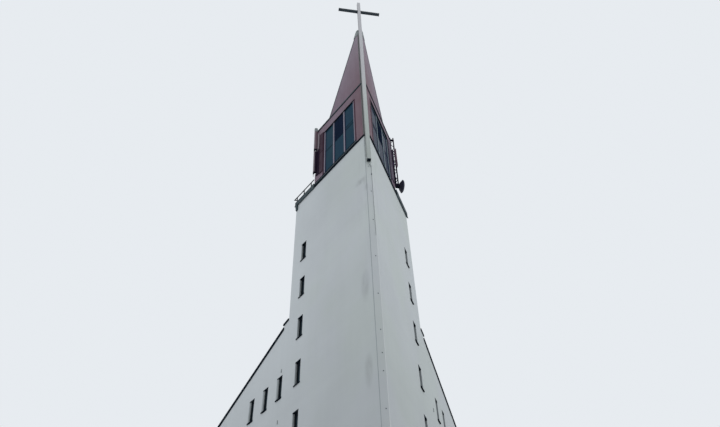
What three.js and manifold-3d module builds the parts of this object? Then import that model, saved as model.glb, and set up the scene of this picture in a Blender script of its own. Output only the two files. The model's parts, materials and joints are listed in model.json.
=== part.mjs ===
// A modern church with a triangular plan: a prow tower, a belfry and spire on it, and one sloping nave roof.
// Real millimetres, +Z up, the prow towards -Y. The finished group is scaled to a 1:2 model.
import * as THREE from 'three';
import { mergeVertices } from 'three/addons/utils/BufferGeometryUtils.js';
import Module from 'manifold-3d';

const wasm = await Module();
wasm.setup();

// Scale and plan
const modelScale = 0.5;
const halfCorner = THREE.MathUtils.degToRad(30);
const sides = { left: -1, right: 1 };
const seat = 0.6;
const beyond = 500;

// Tower
const wall = 400;
const chamfer = 300;
const pierReach = 900;
const towerSide = 6720;
const towerTop = 31500;
const towerBackY = towerSide * Math.cos(halfCorner);
const passage = { halfWidth: 1200, top: 3300 };

// Nave
const naveSide = 34000;
const naveRearY = naveSide * Math.cos(halfCorner);
const vergeStart = 25860;
const vergeFall = 0.486 / Math.cos(halfCorner);
const roofThickness = 300;
const parapet = 120;
const kerb = { depth: 340, top: 22660, fall: 90, capping: 120 };
const capThickness = 60;
const capOverhang = 40;
const capDrop = 110;
const gutter = { depth: 180, height: 160, sheet: 12, drop: 40 };
const entrance = { halfWidth: 1500, top: 3600, frame: 120, leaf: 60, setback: 120 };

// Floors
const floorTop = 300;
const towerFloor = { thickness: 250, first: 4200, rise: 5200, count: 4, reach: 5200 };
const topSlab = { top: towerTop, thickness: 300 };

// Slit windows
const storey = 2600;
const slitTop = 27440;
const slitHeight = 1270;
const towerSlit = { left: 5705, right: 5515, width: 400, count: 9 };
const naveSlit = { width: 330, pitch: 1185, left: 7120, right: 8050, underVerge: 1500, last: 32600 };
const naveSlitDrop = { left: 70, right: 230 };
const rearSlit = { first: 3000, pitch: 2370, perHalf: 5, top: 6550 };
const glass = { thickness: 30, margin: 55 };

// Terrace
const coping = { from: 5200, overhang: 60, inner: 50, bottom: 31450, top: 31700 };
const hopper = { from: 6500, to: 6720, depth: 100, bottom: 30900 };
const rail = { tube: 50, top: 32260, inset: -20, from: 4960, posts: [5240, 5960, 6680] };
const railReturn = { past: 200, length: 900 };

// Belfry
const belfryWall = 250;
const belfrySide = 4800;
const belfryTop = 37100;
const belfryBackY = belfrySide * Math.cos(halfCorner);
const belfryPier = 700;
const roofSlab = { top: 37200, overhang: 30 };
const louvre = { from: 1050, to: 4090, bottom: 31860, top: 36180, transom: 34000, mullions: [2080, 3110] };
const louvreFrame = { bar: 140, rail: 60, setback: 30, depth: 60 };
const louvrePane = 30;

// Spire
const spireSide = 3530;
const spireBackY = spireSide * Math.cos(halfCorner);
const spireApex = 45560;
const spirePitch = (spireApex - roofSlab.top) / spireBackY;
const spireSkin = 150;
const spireDrop = spireSkin * Math.hypot(1, spirePitch);
const cap = { bottom: 43900, top: 44620, overhang: 30 };

// Mast and cross
const mast = { width: 210, centreY: 100, bottom: 29000, top: 48800 };
const arm = { width: 170, halfLength: 1500, centreZ: 47350 };
const bracket = { width: 160, height: 220, levels: [29500, 35500, 41500] };

// Aerials behind the belfry
const aerialBar = { size: 50, reach: 560 };
const barTop = roofSlab.top + aerialBar.size / 2 + seat;
const barLevels = { left: [32750, 34600, 35150, barTop], right: [33000, 34880, barTop] };
const leftPole = { x: -2562, width: 70, bottom: 32450, top: 37500 };
const leftPanels = { outer: -2605, inner: -2397, back: 4085, depth: 105 };
const leftPanelHeights = { upper: [35000, 37330], lower: [32620, 34750] };
const leftClamp = { outer: -2597, inner: -2500 };
const ladder = { tube: 60, inner: 2430, outer: 2640, bottom: 32350, top: 37500 };
const innerPanel = { from: 2470, to: 2600, depth: 100, bottom: 34380, top: 36200 };
const rightPanel = { depth: 60, width: 260, gap: 10, from: 34400, to: 36180 };
const barBackY = belfryBackY + 60;
const poleY = belfryBackY + 75;
const facePanel = { from: 4110, left: 4460, right: 4600, depth: 60, bottom: 32250, top: 36300 };
const dish = { radius: 410, shell: 190, rim: 40, cover: 120, hub: 70, y: 4330, z: 32510 };
const dishMount = { from: 2480, height: 280 };
const dishFaces = { around: 28, rings: 5 };

const colours = {
  render: ['#cdd3d4', 0.85, 0],
  concrete: ['#a8aaa6', 0.9, 0],
  redSheet: ['#74575f', 0.6, 0.1],
  darkSheet: ['#39454c', 0.5, 0.4],
  roofSheet: ['#454f55', 0.6, 0.3],
  paleSteel: ['#b4bcb9', 0.45, 0.3],
  frame: ['#9d8f97', 0.6, 0.1],
  pane: ['#233c4a', 0.2, 0],
  aerial: ['#6b4f55', 0.6, 0],
  dishSheet: ['#55585a', 0.5, 0.2],
  door: ['#3c3a38', 0.5, 0.1],
};

// Shape helpers

// A plan point at a distance along a side wall from the sharp corner, and inward from its outer face.
function onSide(side, along, inset) {
  const x = along * Math.sin(halfCorner) - inset * Math.cos(halfCorner);
  const y = along * Math.cos(halfCorner) + inset * Math.sin(halfCorner);
  return new THREE.Vector2(side * x, y);
}

// A plan point at a depth behind the sharp corner, on a line inward from a side's outer face.
function atDepth(side, y, inset) {
  return new THREE.Vector2(side * (y - inset / Math.sin(halfCorner)) * Math.tan(halfCorner), y);
}

function planPrism(points, bottom, top) {
  const settings = { depth: top - bottom, bevelEnabled: false };
  return new THREE.ExtrudeGeometry(new THREE.Shape(points), settings).translate(0, 0, bottom);
}

// A profile of depth and height, run across the building from one x to another.
function acrossPrism(profile, fromX, toX) {
  const points = profile.map(([y, z]) => new THREE.Vector2(y, z));
  const settings = { depth: toX - fromX, bevelEnabled: false };
  const geometry = new THREE.ExtrudeGeometry(new THREE.Shape(points), settings);
  const turn = new THREE.Matrix4().makeBasis(
    new THREE.Vector3(0, 1, 0),
    new THREE.Vector3(0, 0, 1),
    new THREE.Vector3(1, 0, 0),
  );
  return geometry.applyMatrix4(turn).translate(fromX, 0, 0);
}

function box(x0, x1, y0, y1, z0, z1) {
  const geometry = new THREE.BoxGeometry(x1 - x0, y1 - y0, z1 - z0);
  return geometry.translate((x0 + x1) / 2, (y0 + y1) / 2, (z0 + z1) / 2);
}

// A straight-ended block of a side wall, between two insets.
function sideBlock(side, from, to, outer, inner, bottom, top) {
  const corners = [
    onSide(side, from, outer),
    onSide(side, to, outer),
    onSide(side, to, inner),
    onSide(side, from, inner),
  ];
  return planPrism(corners, bottom, top);
}

// A strip of a side wall that ends at two depths, square to the building's centre line.
function sideStrip(side, fromY, toY, outer, inner, bottom, top) {
  const corners = [
    atDepth(side, fromY, outer),
    atDepth(side, toY, outer),
    atDepth(side, toY, inner),
    atDepth(side, fromY, inner),
  ];
  return planPrism(corners, bottom, top);
}

// A slab across the plan between two depths, kept an inset inside both side walls.
function betweenSides(fromY, toY, inset, bottom, top) {
  const corners = [
    atDepth(-1, fromY, inset),
    atDepth(1, fromY, inset),
    atDepth(1, toY, inset),
    atDepth(-1, toY, inset),
  ];
  return planPrism(corners, bottom, top);
}

function toSolid(geometry) {
  const bare = geometry.clone();
  bare.deleteAttribute('normal');
  bare.deleteAttribute('uv');
  const merged = mergeVertices(bare, 1e-3);
  const vertProperties = new Float32Array(merged.attributes.position.array);
  const triVerts = new Uint32Array(merged.index.array);
  return new wasm.Manifold(new wasm.Mesh({ numProp: 3, vertProperties, triVerts }));
}

function toGeometry(solid) {
  const { vertProperties, triVerts } = solid.getMesh();
  const geometry = new THREE.BufferGeometry();
  geometry.setAttribute('position', new THREE.BufferAttribute(vertProperties, 3));
  geometry.setIndex(new THREE.BufferAttribute(triVerts, 1));
  return geometry;
}

const asSolid = (shape) => (shape.isBufferGeometry ? toSolid(shape) : shape);
const join = (...shapes) => shapes.map(asSolid).reduce((a, b) => a.add(b));
const cut = (shape, ...tools) => tools.map(asSolid).reduce((a, b) => a.subtract(b), asSolid(shape));
const common = (...shapes) => shapes.map(asSolid).reduce((a, b) => a.intersect(b));

const church = new THREE.Group();

function add(name, shape, finish) {
  const [color, roughness, metalness] = colours[finish];
  const solid = shape.isBufferGeometry ? shape : toGeometry(shape);
  const flat = solid.index ? solid.toNonIndexed() : solid;
  flat.computeVertexNormals();
  const mesh = new THREE.Mesh(flat, new THREE.MeshStandardMaterial({ color, roughness, metalness }));
  mesh.name = name;
  church.add(mesh);
}

// Heights that follow the slopes

const vergeAt = (y) => vergeStart - vergeFall * y;
const spireAt = (y, drop) => spireApex - spirePitch * y - drop;

// Everything above the nave's wall tops: a raised step beside the tower, then the slope under the cappings.
function aboveNave() {
  const kerbEnd = towerBackY + kerb.depth;
  const rear = naveRearY + beyond;
  const sky = towerTop + beyond;
  const profile = [
    [towerBackY - beyond, kerb.top],
    [towerBackY, kerb.top],
    [kerbEnd, kerb.top - kerb.fall],
    [kerbEnd, vergeAt(kerbEnd) - capDrop],
    [rear, vergeAt(rear) - capDrop],
    [rear, sky],
    [towerBackY - beyond, sky],
  ];
  return acrossPrism(profile, -naveSide, naveSide);
}

// Slit windows

// One slit stands at each step along a nave wall, in the highest storey row that clears the verge.
function naveSlits(name) {
  const slits = [];
  for (let along = naveSlit[name]; along < naveSlit.last; along += naveSlit.pitch) {
    const room = vergeAt(along * Math.cos(halfCorner)) - naveSlit.underVerge;
    const row = Math.ceil((slitTop - room) / storey);
    slits.push({ along, top: slitTop - naveSlitDrop[name] - row * storey });
  }
  return slits;
}

function slitCutter(side, along, width, top) {
  return sideBlock(side, along - width / 2, along + width / 2, -beyond, wall + beyond, top - slitHeight, top);
}

// Tower

function towerPier(reach, thickness, bottom, top) {
  const points = [
    onSide(-1, chamfer, 0),
    onSide(1, chamfer, 0),
    onSide(1, reach, 0),
    onSide(1, reach, thickness),
    onSide(-1, reach, thickness),
    onSide(-1, reach, 0),
  ];
  return planPrism(points, bottom, top);
}

function pierWall(side, reach, backY, thickness, bottom, top) {
  const points = [
    onSide(side, reach + seat, 0),
    atDepth(side, backY, 0),
    atDepth(side, backY, thickness),
    onSide(side, reach + seat, thickness),
  ];
  return planPrism(points, bottom, top);
}

function addTower() {
  add('tower_front_corner', towerPier(pierReach, wall, 0, towerTop), 'render');
  for (const [name, side] of Object.entries(sides)) {
    const cutters = [];
    for (let row = 0; row < towerSlit.count; row += 1) {
      cutters.push(slitCutter(side, towerSlit[name], towerSlit.width, slitTop - row * storey));
    }
    const plain = pierWall(side, pierReach, towerBackY, wall, 0, towerTop);
    add(`tower_${name}_wall`, cut(plain, ...cutters), 'render');
    const from = towerSlit[name] - towerSlit.width / 2 - glass.margin;
    const to = towerSlit[name] + towerSlit.width / 2 + glass.margin;
    const low = slitTop - (towerSlit.count - 1) * storey - slitHeight - glass.margin;
    const sheet = sideBlock(side, from, to, wall + seat, wall + glass.thickness, low, slitTop + glass.margin);
    add(`tower_${name}_glass`, sheet, 'pane');
  }
  const back = betweenSides(towerBackY - wall, towerBackY, wall + seat, 0, towerTop);
  const front = towerBackY - wall - beyond;
  const way = box(-passage.halfWidth, passage.halfWidth, front, towerBackY + beyond, -beyond, passage.top);
  add('tower_back_wall', cut(back, way), 'render');
}

function addFloors() {
  const backInner = towerBackY - wall - seat;
  const towerPart = planPrism(
    [
      onSide(-1, pierReach + seat, wall + seat),
      onSide(1, pierReach + seat, wall + seat),
      atDepth(1, backInner, wall + seat),
      atDepth(-1, backInner, wall + seat),
    ],
    0,
    floorTop,
  );
  const halfWay = passage.halfWidth - seat;
  const neck = box(-halfWay, halfWay, backInner - seat, towerBackY + wall, 0, floorTop);
  const navePart = betweenSides(towerBackY + seat, naveRearY - wall - seat, wall + seat, 0, floorTop);
  const halfDoor = entrance.halfWidth - seat;
  const threshold = box(-halfDoor, halfDoor, naveRearY - wall - 2 * seat, naveRearY - seat, 0, floorTop);
  add('ground_floor', join(towerPart, neck, navePart, threshold), 'concrete');
  for (let level = 0; level < towerFloor.count; level += 1) {
    const top = towerFloor.first + level * towerFloor.rise;
    const outline = [
      onSide(-1, pierReach + seat, wall + seat),
      onSide(1, pierReach + seat, wall + seat),
      onSide(1, towerFloor.reach, wall + seat),
      new THREE.Vector2(onSide(1, towerFloor.reach, wall + seat).x, backInner),
      new THREE.Vector2(onSide(-1, towerFloor.reach, wall + seat).x, backInner),
      onSide(-1, towerFloor.reach, wall + seat),
    ];
    add(`tower_floor_${level + 1}`, planPrism(outline, top - towerFloor.thickness, top), 'concrete');
  }
}

// Nave

function addNaveWalls() {
  const sky = aboveNave();
  for (const [name, side] of Object.entries(sides)) {
    const plain = sideStrip(side, towerBackY + seat, naveRearY, 0, wall, 0, kerb.top + beyond);
    const slits = naveSlits(name);
    const cutters = slits.map((slit) => slitCutter(side, slit.along, naveSlit.width, slit.top));
    add(`nave_${name}_wall`, cut(plain, sky, ...cutters), 'render');
    const first = slits[0].along - naveSlit.width / 2 - glass.margin;
    const last = slits.at(-1).along + naveSlit.width / 2 + glass.margin;
    const strip = sideBlock(side, first, last, wall + seat, wall + glass.thickness, 0, towerTop);
    const high = naveSlit.underVerge - glass.margin - wall;
    const low = naveSlit.underVerge + storey + naveSlitDrop[name] + slitHeight + glass.margin;
    const band = acrossPrism(
      [
        [towerBackY, vergeAt(towerBackY) - high],
        [towerBackY, vergeAt(towerBackY) - low],
        [naveRearY, vergeAt(naveRearY) - low],
        [naveRearY, vergeAt(naveRearY) - high],
      ],
      -naveSide,
      naveSide,
    );
    add(`nave_${name}_glass`, common(strip, band), 'pane');
  }
}

function addRearWall() {
  const outerTop = vergeAt(naveRearY) - parapet - roofThickness * Math.hypot(1, vergeFall) - seat;
  const profile = [
    [naveRearY - wall, 0],
    [naveRearY, 0],
    [naveRearY, outerTop],
    [naveRearY - wall, outerTop + vergeFall * wall],
  ];
  const across = acrossPrism(profile, -naveSide, naveSide);
  const inside = betweenSides(towerBackY, naveRearY + beyond, wall + seat, -beyond, towerTop);
  const front = naveRearY - wall - beyond;
  const behind = naveRearY + beyond;
  const cutters = [box(-entrance.halfWidth, entrance.halfWidth, front, behind, -beyond, entrance.top)];
  for (let step = 0; step < rearSlit.perHalf; step += 1) {
    for (const side of Object.values(sides)) {
      const x = side * (rearSlit.first + step * rearSlit.pitch);
      const half = naveSlit.width / 2;
      cutters.push(box(x - half, x + half, front, behind, rearSlit.top - slitHeight, rearSlit.top));
    }
  }
  add('nave_rear_wall', cut(common(across, inside), ...cutters), 'render');
  const reach = rearSlit.first + (rearSlit.perHalf - 1) * rearSlit.pitch + naveSlit.width / 2 + glass.margin;
  const inner = naveRearY - wall;
  const low = rearSlit.top - slitHeight - glass.margin;
  const high = rearSlit.top + glass.margin;
  add('nave_rear_glass', box(-reach, reach, inner - glass.thickness, inner - seat, low, high), 'pane');
}

function addEntrance() {
  const half = entrance.halfWidth - seat;
  const outer = naveRearY - entrance.setback;
  const inner = outer - entrance.frame;
  const headBottom = entrance.top - entrance.frame;
  const jambInner = half - entrance.frame;
  const surround = cut(
    box(-half, half, inner, outer, floorTop + seat, entrance.top - seat),
    box(-jambInner, jambInner, inner - beyond, outer + beyond, 0, headBottom),
  );
  add('entrance_frame', surround, 'darkSheet');
  const middle = (inner + outer) / 2;
  for (const [name, side] of Object.entries(sides)) {
    const edges = [side * seat * 5, side * (jambInner - seat)].sort((a, b) => a - b);
    const face = entrance.leaf / 2;
    const leaf = box(edges[0], edges[1], middle - face, middle + face, floorTop + seat, headBottom - seat);
    add(`entrance_${name}_door`, leaf, 'door');
  }
}

function addNaveRoof() {
  const start = towerBackY + seat;
  const kerbEnd = towerBackY + kerb.depth;
  const deep = roofThickness * Math.hypot(1, vergeFall);
  const roofAt = (y) => vergeAt(y) - parapet;
  const profile = [
    [start, kerb.top],
    [kerbEnd, kerb.top - kerb.fall],
    [kerbEnd, roofAt(kerbEnd)],
    [naveRearY, roofAt(naveRearY)],
    [naveRearY, roofAt(naveRearY) - deep],
    [start, roofAt(start) - deep],
  ];
  const inside = betweenSides(towerBackY - beyond, naveRearY + beyond, wall + seat, 0, towerTop);
  add('nave_roof', common(acrossPrism(profile, -naveSide, naveSide), inside), 'roofSheet');
  const capEnd = kerbEnd + capOverhang;
  const capAt = (y) => kerb.top - (kerb.fall / kerb.depth) * (y - towerBackY) + seat;
  const capProfile = [
    [start, capAt(start)],
    [capEnd, capAt(capEnd)],
    [capEnd, capAt(capEnd) + kerb.capping],
    [start, capAt(start) + kerb.capping],
  ];
  const over = betweenSides(towerBackY - beyond, kerbEnd + beyond, -capOverhang, 0, towerTop);
  add('kerb_capping', common(acrossPrism(capProfile, -naveSide, naveSide), over), 'darkSheet');
  const rear = naveRearY + capOverhang;
  const front = kerbEnd + seat;
  const slope = acrossPrism(
    [
      [front, vergeAt(front) + seat - capDrop],
      [rear, vergeAt(rear) + seat - capDrop],
      [rear, vergeAt(rear) + capThickness],
      [front, vergeAt(front) + capThickness],
    ],
    -naveSide,
    naveSide,
  );
  for (const [name, side] of Object.entries(sides)) {
    const strip = sideStrip(side, kerbEnd, rear, -capOverhang, wall + capOverhang, 0, towerTop);
    add(`verge_capping_${name}`, common(strip, slope), 'darkSheet');
  }
  const gutterTop = roofAt(naveRearY) - gutter.drop;
  const from = naveRearY + seat;
  const to = naveRearY + gutter.depth;
  const reach = atDepth(1, naveRearY, wall + seat).x;
  const low = gutterTop - gutter.height;
  const inner = reach - gutter.sheet;
  const outside = box(-reach, reach, from, to, low, gutterTop);
  const { sheet } = gutter;
  const trough = box(-inner, inner, from + sheet, to - sheet, low + sheet, gutterTop + beyond);
  add('eave_gutter', cut(outside, trough), 'darkSheet');
}

// Terrace behind the belfry

function addTerrace() {
  const backInner = towerBackY - wall - seat;
  const slab = planPrism(
    [
      onSide(-1, pierReach + seat, wall + seat),
      onSide(1, pierReach + seat, wall + seat),
      atDepth(1, backInner, wall + seat),
      atDepth(-1, backInner, wall + seat),
    ],
    topSlab.top - topSlab.thickness,
    topSlab.top,
  );
  add('tower_top_slab', slab, 'concrete');
  const rear = towerBackY + coping.overhang;
  const upper = towerTop + seat;
  for (const [name, side] of Object.entries(sides)) {
    const run = (outer, inner, bottom, top) => planPrism(
      [
        onSide(side, coping.from, outer),
        atDepth(side, rear, outer),
        atDepth(side, rear, inner),
        onSide(side, coping.from, inner),
      ],
      bottom,
      top,
    );
    const top = run(-coping.overhang, wall + coping.inner, upper, coping.top);
    const lip = run(-coping.overhang, -seat, coping.bottom, upper + seat);
    add(`coping_${name}`, join(top, lip), 'darkSheet');
  }
  const inset = wall + coping.inner + seat;
  const backTop = betweenSides(towerBackY - wall - coping.inner, rear, inset, upper, coping.top);
  const backLip = betweenSides(towerBackY + seat, rear, inset, coping.bottom, upper + seat);
  add('coping_back', join(backTop, backLip), 'darkSheet');
  const { from, to, depth, bottom } = hopper;
  add('corner_hopper', sideBlock(-1, from, to, -depth, -seat, bottom, coping.bottom - seat), 'darkSheet');
  addRailing();
}

// The rail runs past the rear corner, turns, and comes back to a post on the rear coping.
function addRailing() {
  const half = rail.tube / 2;
  const foot = coping.top + seat;
  const low = rail.top - rail.tube;
  const bars = rail.posts.map((along) =>
    sideBlock(-1, along - half, along + half, rail.inset - half, rail.inset + half, foot, rail.top));
  const backY = towerBackY + railReturn.past;
  const cornerX = atDepth(-1, backY, rail.inset).x;
  const sideRail = planPrism(
    [
      onSide(-1, rail.from, rail.inset - half),
      atDepth(-1, backY + half, rail.inset - half),
      atDepth(-1, backY + half, rail.inset + half),
      onSide(-1, rail.from, rail.inset + half),
    ],
    low,
    rail.top,
  );
  const endX = cornerX + railReturn.length;
  const returnRail = box(cornerX, endX, backY - half, backY + half, low, rail.top);
  const postY = towerBackY + coping.overhang / 2;
  const link = box(endX - rail.tube, endX, postY - half, backY + half, low, rail.top);
  const endPost = box(endX - rail.tube, endX, postY - half, postY + half, foot, rail.top);
  add('terrace_railing', join(sideRail, returnRail, link, endPost, ...bars), 'paleSteel');
}

// Belfry

function addBelfry() {
  add('belfry_front_corner', towerPier(belfryPier, belfryWall, towerTop + seat, belfryTop), 'redSheet');
  for (const [name, side] of Object.entries(sides)) {
    const plain = pierWall(side, belfryPier, belfryBackY, belfryWall, towerTop + seat, belfryTop);
    const { from, to, bottom, top } = louvre;
    const hole = sideBlock(side, from, to, -beyond, belfryWall + beyond, bottom, top);
    add(`belfry_${name}_wall`, cut(plain, hole), 'redSheet');
    add(`belfry_${name}_frame`, louvreGrid(side), 'frame');
    const back = louvreFrame.setback + louvreFrame.depth + seat;
    const sheet = sideBlock(side, from + seat, to - seat, back, back + louvrePane, bottom + seat, top - seat);
    add(`belfry_${name}_panes`, sheet, 'pane');
  }
  const foot = topSlab.top + seat;
  const back = betweenSides(belfryBackY - belfryWall, belfryBackY, belfryWall + seat, foot, belfryTop);
  add('belfry_back_wall', back, 'redSheet');
  const edge = roofSlab.overhang;
  const roof = planPrism(
    [
      onSide(-1, chamfer, -edge),
      onSide(1, chamfer, -edge),
      atDepth(1, belfryBackY + edge, -edge),
      atDepth(-1, belfryBackY + edge, -edge),
    ],
    belfryTop + seat,
    roofSlab.top,
  );
  add('belfry_roof', roof, 'darkSheet');
}

// Wide posts run the whole height, and thin rails close the head, the middle and the foot.
function louvreGrid(side) {
  const { bar, rail, setback, depth } = louvreFrame;
  const low = louvre.bottom + seat;
  const high = louvre.top - seat;
  const slab = sideBlock(side, louvre.from + seat, louvre.to - seat, setback, setback + depth, low, high);
  const posts = [louvre.from + bar / 2, ...louvre.mullions, louvre.to - bar / 2];
  const rails = [louvre.bottom + rail / 2, louvre.transom, louvre.top - rail / 2];
  const holes = [];
  for (let column = 1; column < posts.length; column += 1) {
    for (let row = 1; row < rails.length; row += 1) {
      const from = posts[column - 1] + bar / 2;
      const to = posts[column] - bar / 2;
      const bottom = rails[row - 1] + rail / 2;
      const top = rails[row] - rail / 2;
      holes.push(sideBlock(side, from, to, -beyond, beyond, bottom, top));
    }
  }
  return cut(slab, ...holes);
}

// Spire

function underSpire(drop, front) {
  const low = roofSlab.top + seat;
  const footY = (spireApex - drop - low) / spirePitch;
  return acrossPrism([[front, low], [footY, low], [front, spireAt(front, drop)]], -naveSide, naveSide);
}

function addSpire() {
  const low = roofSlab.top + seat;
  const clear = spireDrop + seat * Math.hypot(1, spirePitch);
  const trunk = underSpire(clear, 0);
  const below = cap.bottom - seat;
  add('spire_front_corner', common(towerPier(belfryPier, spireSkin, low, below), trunk), 'redSheet');
  for (const [name, side] of Object.entries(sides)) {
    const face = pierWall(side, belfryPier, spireBackY, spireSkin, low, below);
    add(`spire_${name}_face`, common(face, trunk), 'redSheet');
  }
  const shell = cut(underSpire(0, 0), underSpire(spireDrop, -beyond));
  const wedge = betweenSides(chamfer * Math.cos(halfCorner), spireBackY + beyond, 0, low, below);
  add('spire_back_roof', common(shell, wedge), 'redSheet');
  const hood = planPrism(
    [
      onSide(-1, chamfer, -cap.overhang),
      onSide(1, chamfer, -cap.overhang),
      atDepth(1, spireBackY, -cap.overhang),
      atDepth(-1, spireBackY, -cap.overhang),
    ],
    cap.bottom,
    cap.top,
  );
  const slope = cap.overhang * Math.hypot(1, spirePitch);
  add('spire_cap', common(hood, underSpire(-slope, -beyond)), 'darkSheet');
}

// Mast and cross

function addMast() {
  const half = mast.width / 2;
  const { centreY, bottom, top } = mast;
  const post = box(-half, half, centreY - half, centreY + half, bottom, top);
  const halfArm = arm.width / 2;
  const slot = halfArm + seat;
  const z = arm.centreZ;
  const socket = box(-half - beyond, half + beyond, centreY - slot, centreY + slot, z - slot, z + slot);
  add('mast', cut(post, socket), 'paleSteel');
  const reach = arm.halfLength;
  const bar = box(-reach, reach, centreY - halfArm, centreY + halfArm, z - halfArm, z + halfArm);
  add('cross_arm', bar, 'darkSheet');
  const strip = chamfer * Math.cos(halfCorner);
  const halfBracket = bracket.width / 2;
  const backOfMast = centreY + half + seat;
  bracket.levels.forEach((level, index) => {
    const block = box(-halfBracket, halfBracket, backOfMast, strip - seat, level, level + bracket.height);
    add(`mast_bracket_${index + 1}`, block, 'darkSheet');
  });
}

// Aerials

function wallBars(side, outerX, levels) {
  const { size, reach } = aerialBar;
  const [from, to] = [side * outerX, side * (outerX - reach)].sort((a, b) => a - b);
  return levels.map((z) => box(from, to, belfryBackY + seat, barBackY, z - size / 2, z + size / 2));
}

function upright(x, width, bottom, top) {
  const half = width / 2;
  return box(x - half, x + half, poleY - half, poleY + half, bottom, top);
}

// Two panels stand past the belfry's edge. Clamps hold them to the wall bars, and a pole stands behind.
function addLeftAerials() {
  const { outer, inner, back, depth } = leftPanels;
  for (const [name, [low, high]] of Object.entries(leftPanelHeights)) {
    add(`left_aerial_${name}`, box(outer, inner, back - depth, back, low, high), 'aerial');
  }
  const pole = upright(leftPole.x, leftPole.width, leftPole.bottom, leftPole.top);
  const bars = wallBars(-1, -leftPole.x + leftPole.width / 2, barLevels.left);
  const half = aerialBar.size / 2;
  const clamps = barLevels.left.map((z) =>
    box(leftClamp.outer, leftClamp.inner, back + seat, barBackY, z - half, z + half));
  add('left_aerial_frame', join(pole, ...bars, ...clamps), 'paleSteel');
}

// A flat panel on each side wall, between the window and the rear edge.
function addFacePanels() {
  const { from, depth, bottom, top } = facePanel;
  for (const [name, side] of Object.entries(sides)) {
    const panel = sideBlock(side, from, facePanel[name], -depth, -seat, bottom, top);
    add(`${name}_aerial_face`, panel, 'aerial');
  }
}

// Two uprights behind the belfry: the inner one stands against the bars, the outer one is joined to them.
function addRightAerials() {
  const { size } = aerialBar;
  const halfTube = ladder.tube / 2;
  const innerY = barBackY + seat;
  const inside = box(
    ladder.inner - halfTube, ladder.inner + halfTube,
    innerY, innerY + ladder.tube,
    ladder.bottom, ladder.top,
  );
  add('right_aerial_post', inside, 'paleSteel');
  const parts = [upright(ladder.outer, ladder.tube, ladder.bottom, ladder.top)];
  const panelY = poleY + halfTube + seat;
  const { from, to, depth, bottom, top } = innerPanel;
  const inner = box(from, to, panelY, panelY + depth, bottom, top);
  add('right_aerial_inner', inner, 'aerial');
  for (const z of [bottom + size * 4, top - size * 4]) {
    parts.push(box(to - size, ladder.outer, poleY, poleY + halfTube, z - size / 2, z + size / 2));
  }
  const face = ladder.outer + halfTube + rightPanel.gap;
  const half = rightPanel.width / 2;
  const { from: low, to: high } = rightPanel;
  const cover = box(face + seat, face + rightPanel.depth, poleY - half, poleY + half, low, high);
  add('right_aerial', cover, 'aerial');
  for (const z of [low + size * 4, high - size * 4]) {
    parts.push(box(ladder.outer, face, poleY - size / 2, poleY + size / 2, z - size / 2, z + size / 2));
  }
  const mountX = ladder.outer + halfTube;
  const mountLow = dish.z - dishMount.height / 2;
  parts.push(box(dishMount.from, mountX, poleY, dish.y + dish.hub, mountLow, mountLow + dishMount.height));
  add('right_aerial_frame', join(...parts, ...wallBars(1, ladder.outer, barLevels.right)), 'paleSteel');
  add('dish', dishDrum(mountX + seat), 'dishSheet');
}

// A drum aerial: a coned shell behind a short rim, closed by a domed cover.
function dishDrum(backX) {
  const rimStart = dish.shell;
  const rimEnd = rimStart + dish.rim;
  const profile = [new THREE.Vector2(0, 0), new THREE.Vector2(dish.hub, 0)];
  for (let ring = 1; ring <= dishFaces.rings; ring += 1) {
    const share = ring / dishFaces.rings;
    profile.push(new THREE.Vector2(dish.hub + (dish.radius - dish.hub) * share, rimStart * share ** 1.5));
  }
  for (let ring = 0; ring < dishFaces.rings; ring += 1) {
    const turn = ((ring / dishFaces.rings) * Math.PI) / 2;
    profile.push(new THREE.Vector2(dish.radius * Math.cos(turn), rimEnd + dish.cover * Math.sin(turn)));
  }
  profile.push(new THREE.Vector2(0, rimEnd + dish.cover));
  const geometry = new THREE.LatheGeometry(profile, dishFaces.around);
  geometry.rotateZ(-Math.PI / 2);
  return toSolid(geometry.translate(backX, dish.y, dish.z));
}

addTower();
addFloors();
addNaveWalls();
addRearWall();
addEntrance();
addNaveRoof();
addTerrace();
addBelfry();
addSpire();
addMast();
addLeftAerials();
addFacePanels();
addRightAerials();

// The origin is under the middle of the whole building, on the ground.
const frontY = mast.centreY - mast.width / 2;
const rearY = naveRearY + gutter.depth;
for (const mesh of church.children) {
  mesh.position.y = -(frontY + rearY) / 2;
}
church.scale.setScalar(modelScale);

export default church;
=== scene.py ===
import json
import math

import bmesh
import bpy
from mathutils import Matrix, Vector


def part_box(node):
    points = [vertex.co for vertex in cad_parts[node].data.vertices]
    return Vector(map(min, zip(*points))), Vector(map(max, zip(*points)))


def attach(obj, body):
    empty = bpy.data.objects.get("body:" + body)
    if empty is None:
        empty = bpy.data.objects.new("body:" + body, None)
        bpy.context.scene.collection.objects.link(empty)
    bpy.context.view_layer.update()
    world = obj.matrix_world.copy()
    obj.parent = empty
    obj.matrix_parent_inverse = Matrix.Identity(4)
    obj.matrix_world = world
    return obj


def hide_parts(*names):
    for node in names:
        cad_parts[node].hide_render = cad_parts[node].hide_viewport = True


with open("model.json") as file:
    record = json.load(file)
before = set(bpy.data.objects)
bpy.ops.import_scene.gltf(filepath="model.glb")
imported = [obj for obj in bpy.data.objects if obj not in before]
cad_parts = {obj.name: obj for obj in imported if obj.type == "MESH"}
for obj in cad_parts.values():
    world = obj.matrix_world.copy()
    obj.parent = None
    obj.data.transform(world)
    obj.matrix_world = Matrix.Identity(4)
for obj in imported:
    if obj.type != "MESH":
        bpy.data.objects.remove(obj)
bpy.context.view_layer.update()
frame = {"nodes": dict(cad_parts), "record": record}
print("frame loaded,", len(frame["nodes"]), "nodes")

# Where things are

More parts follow.
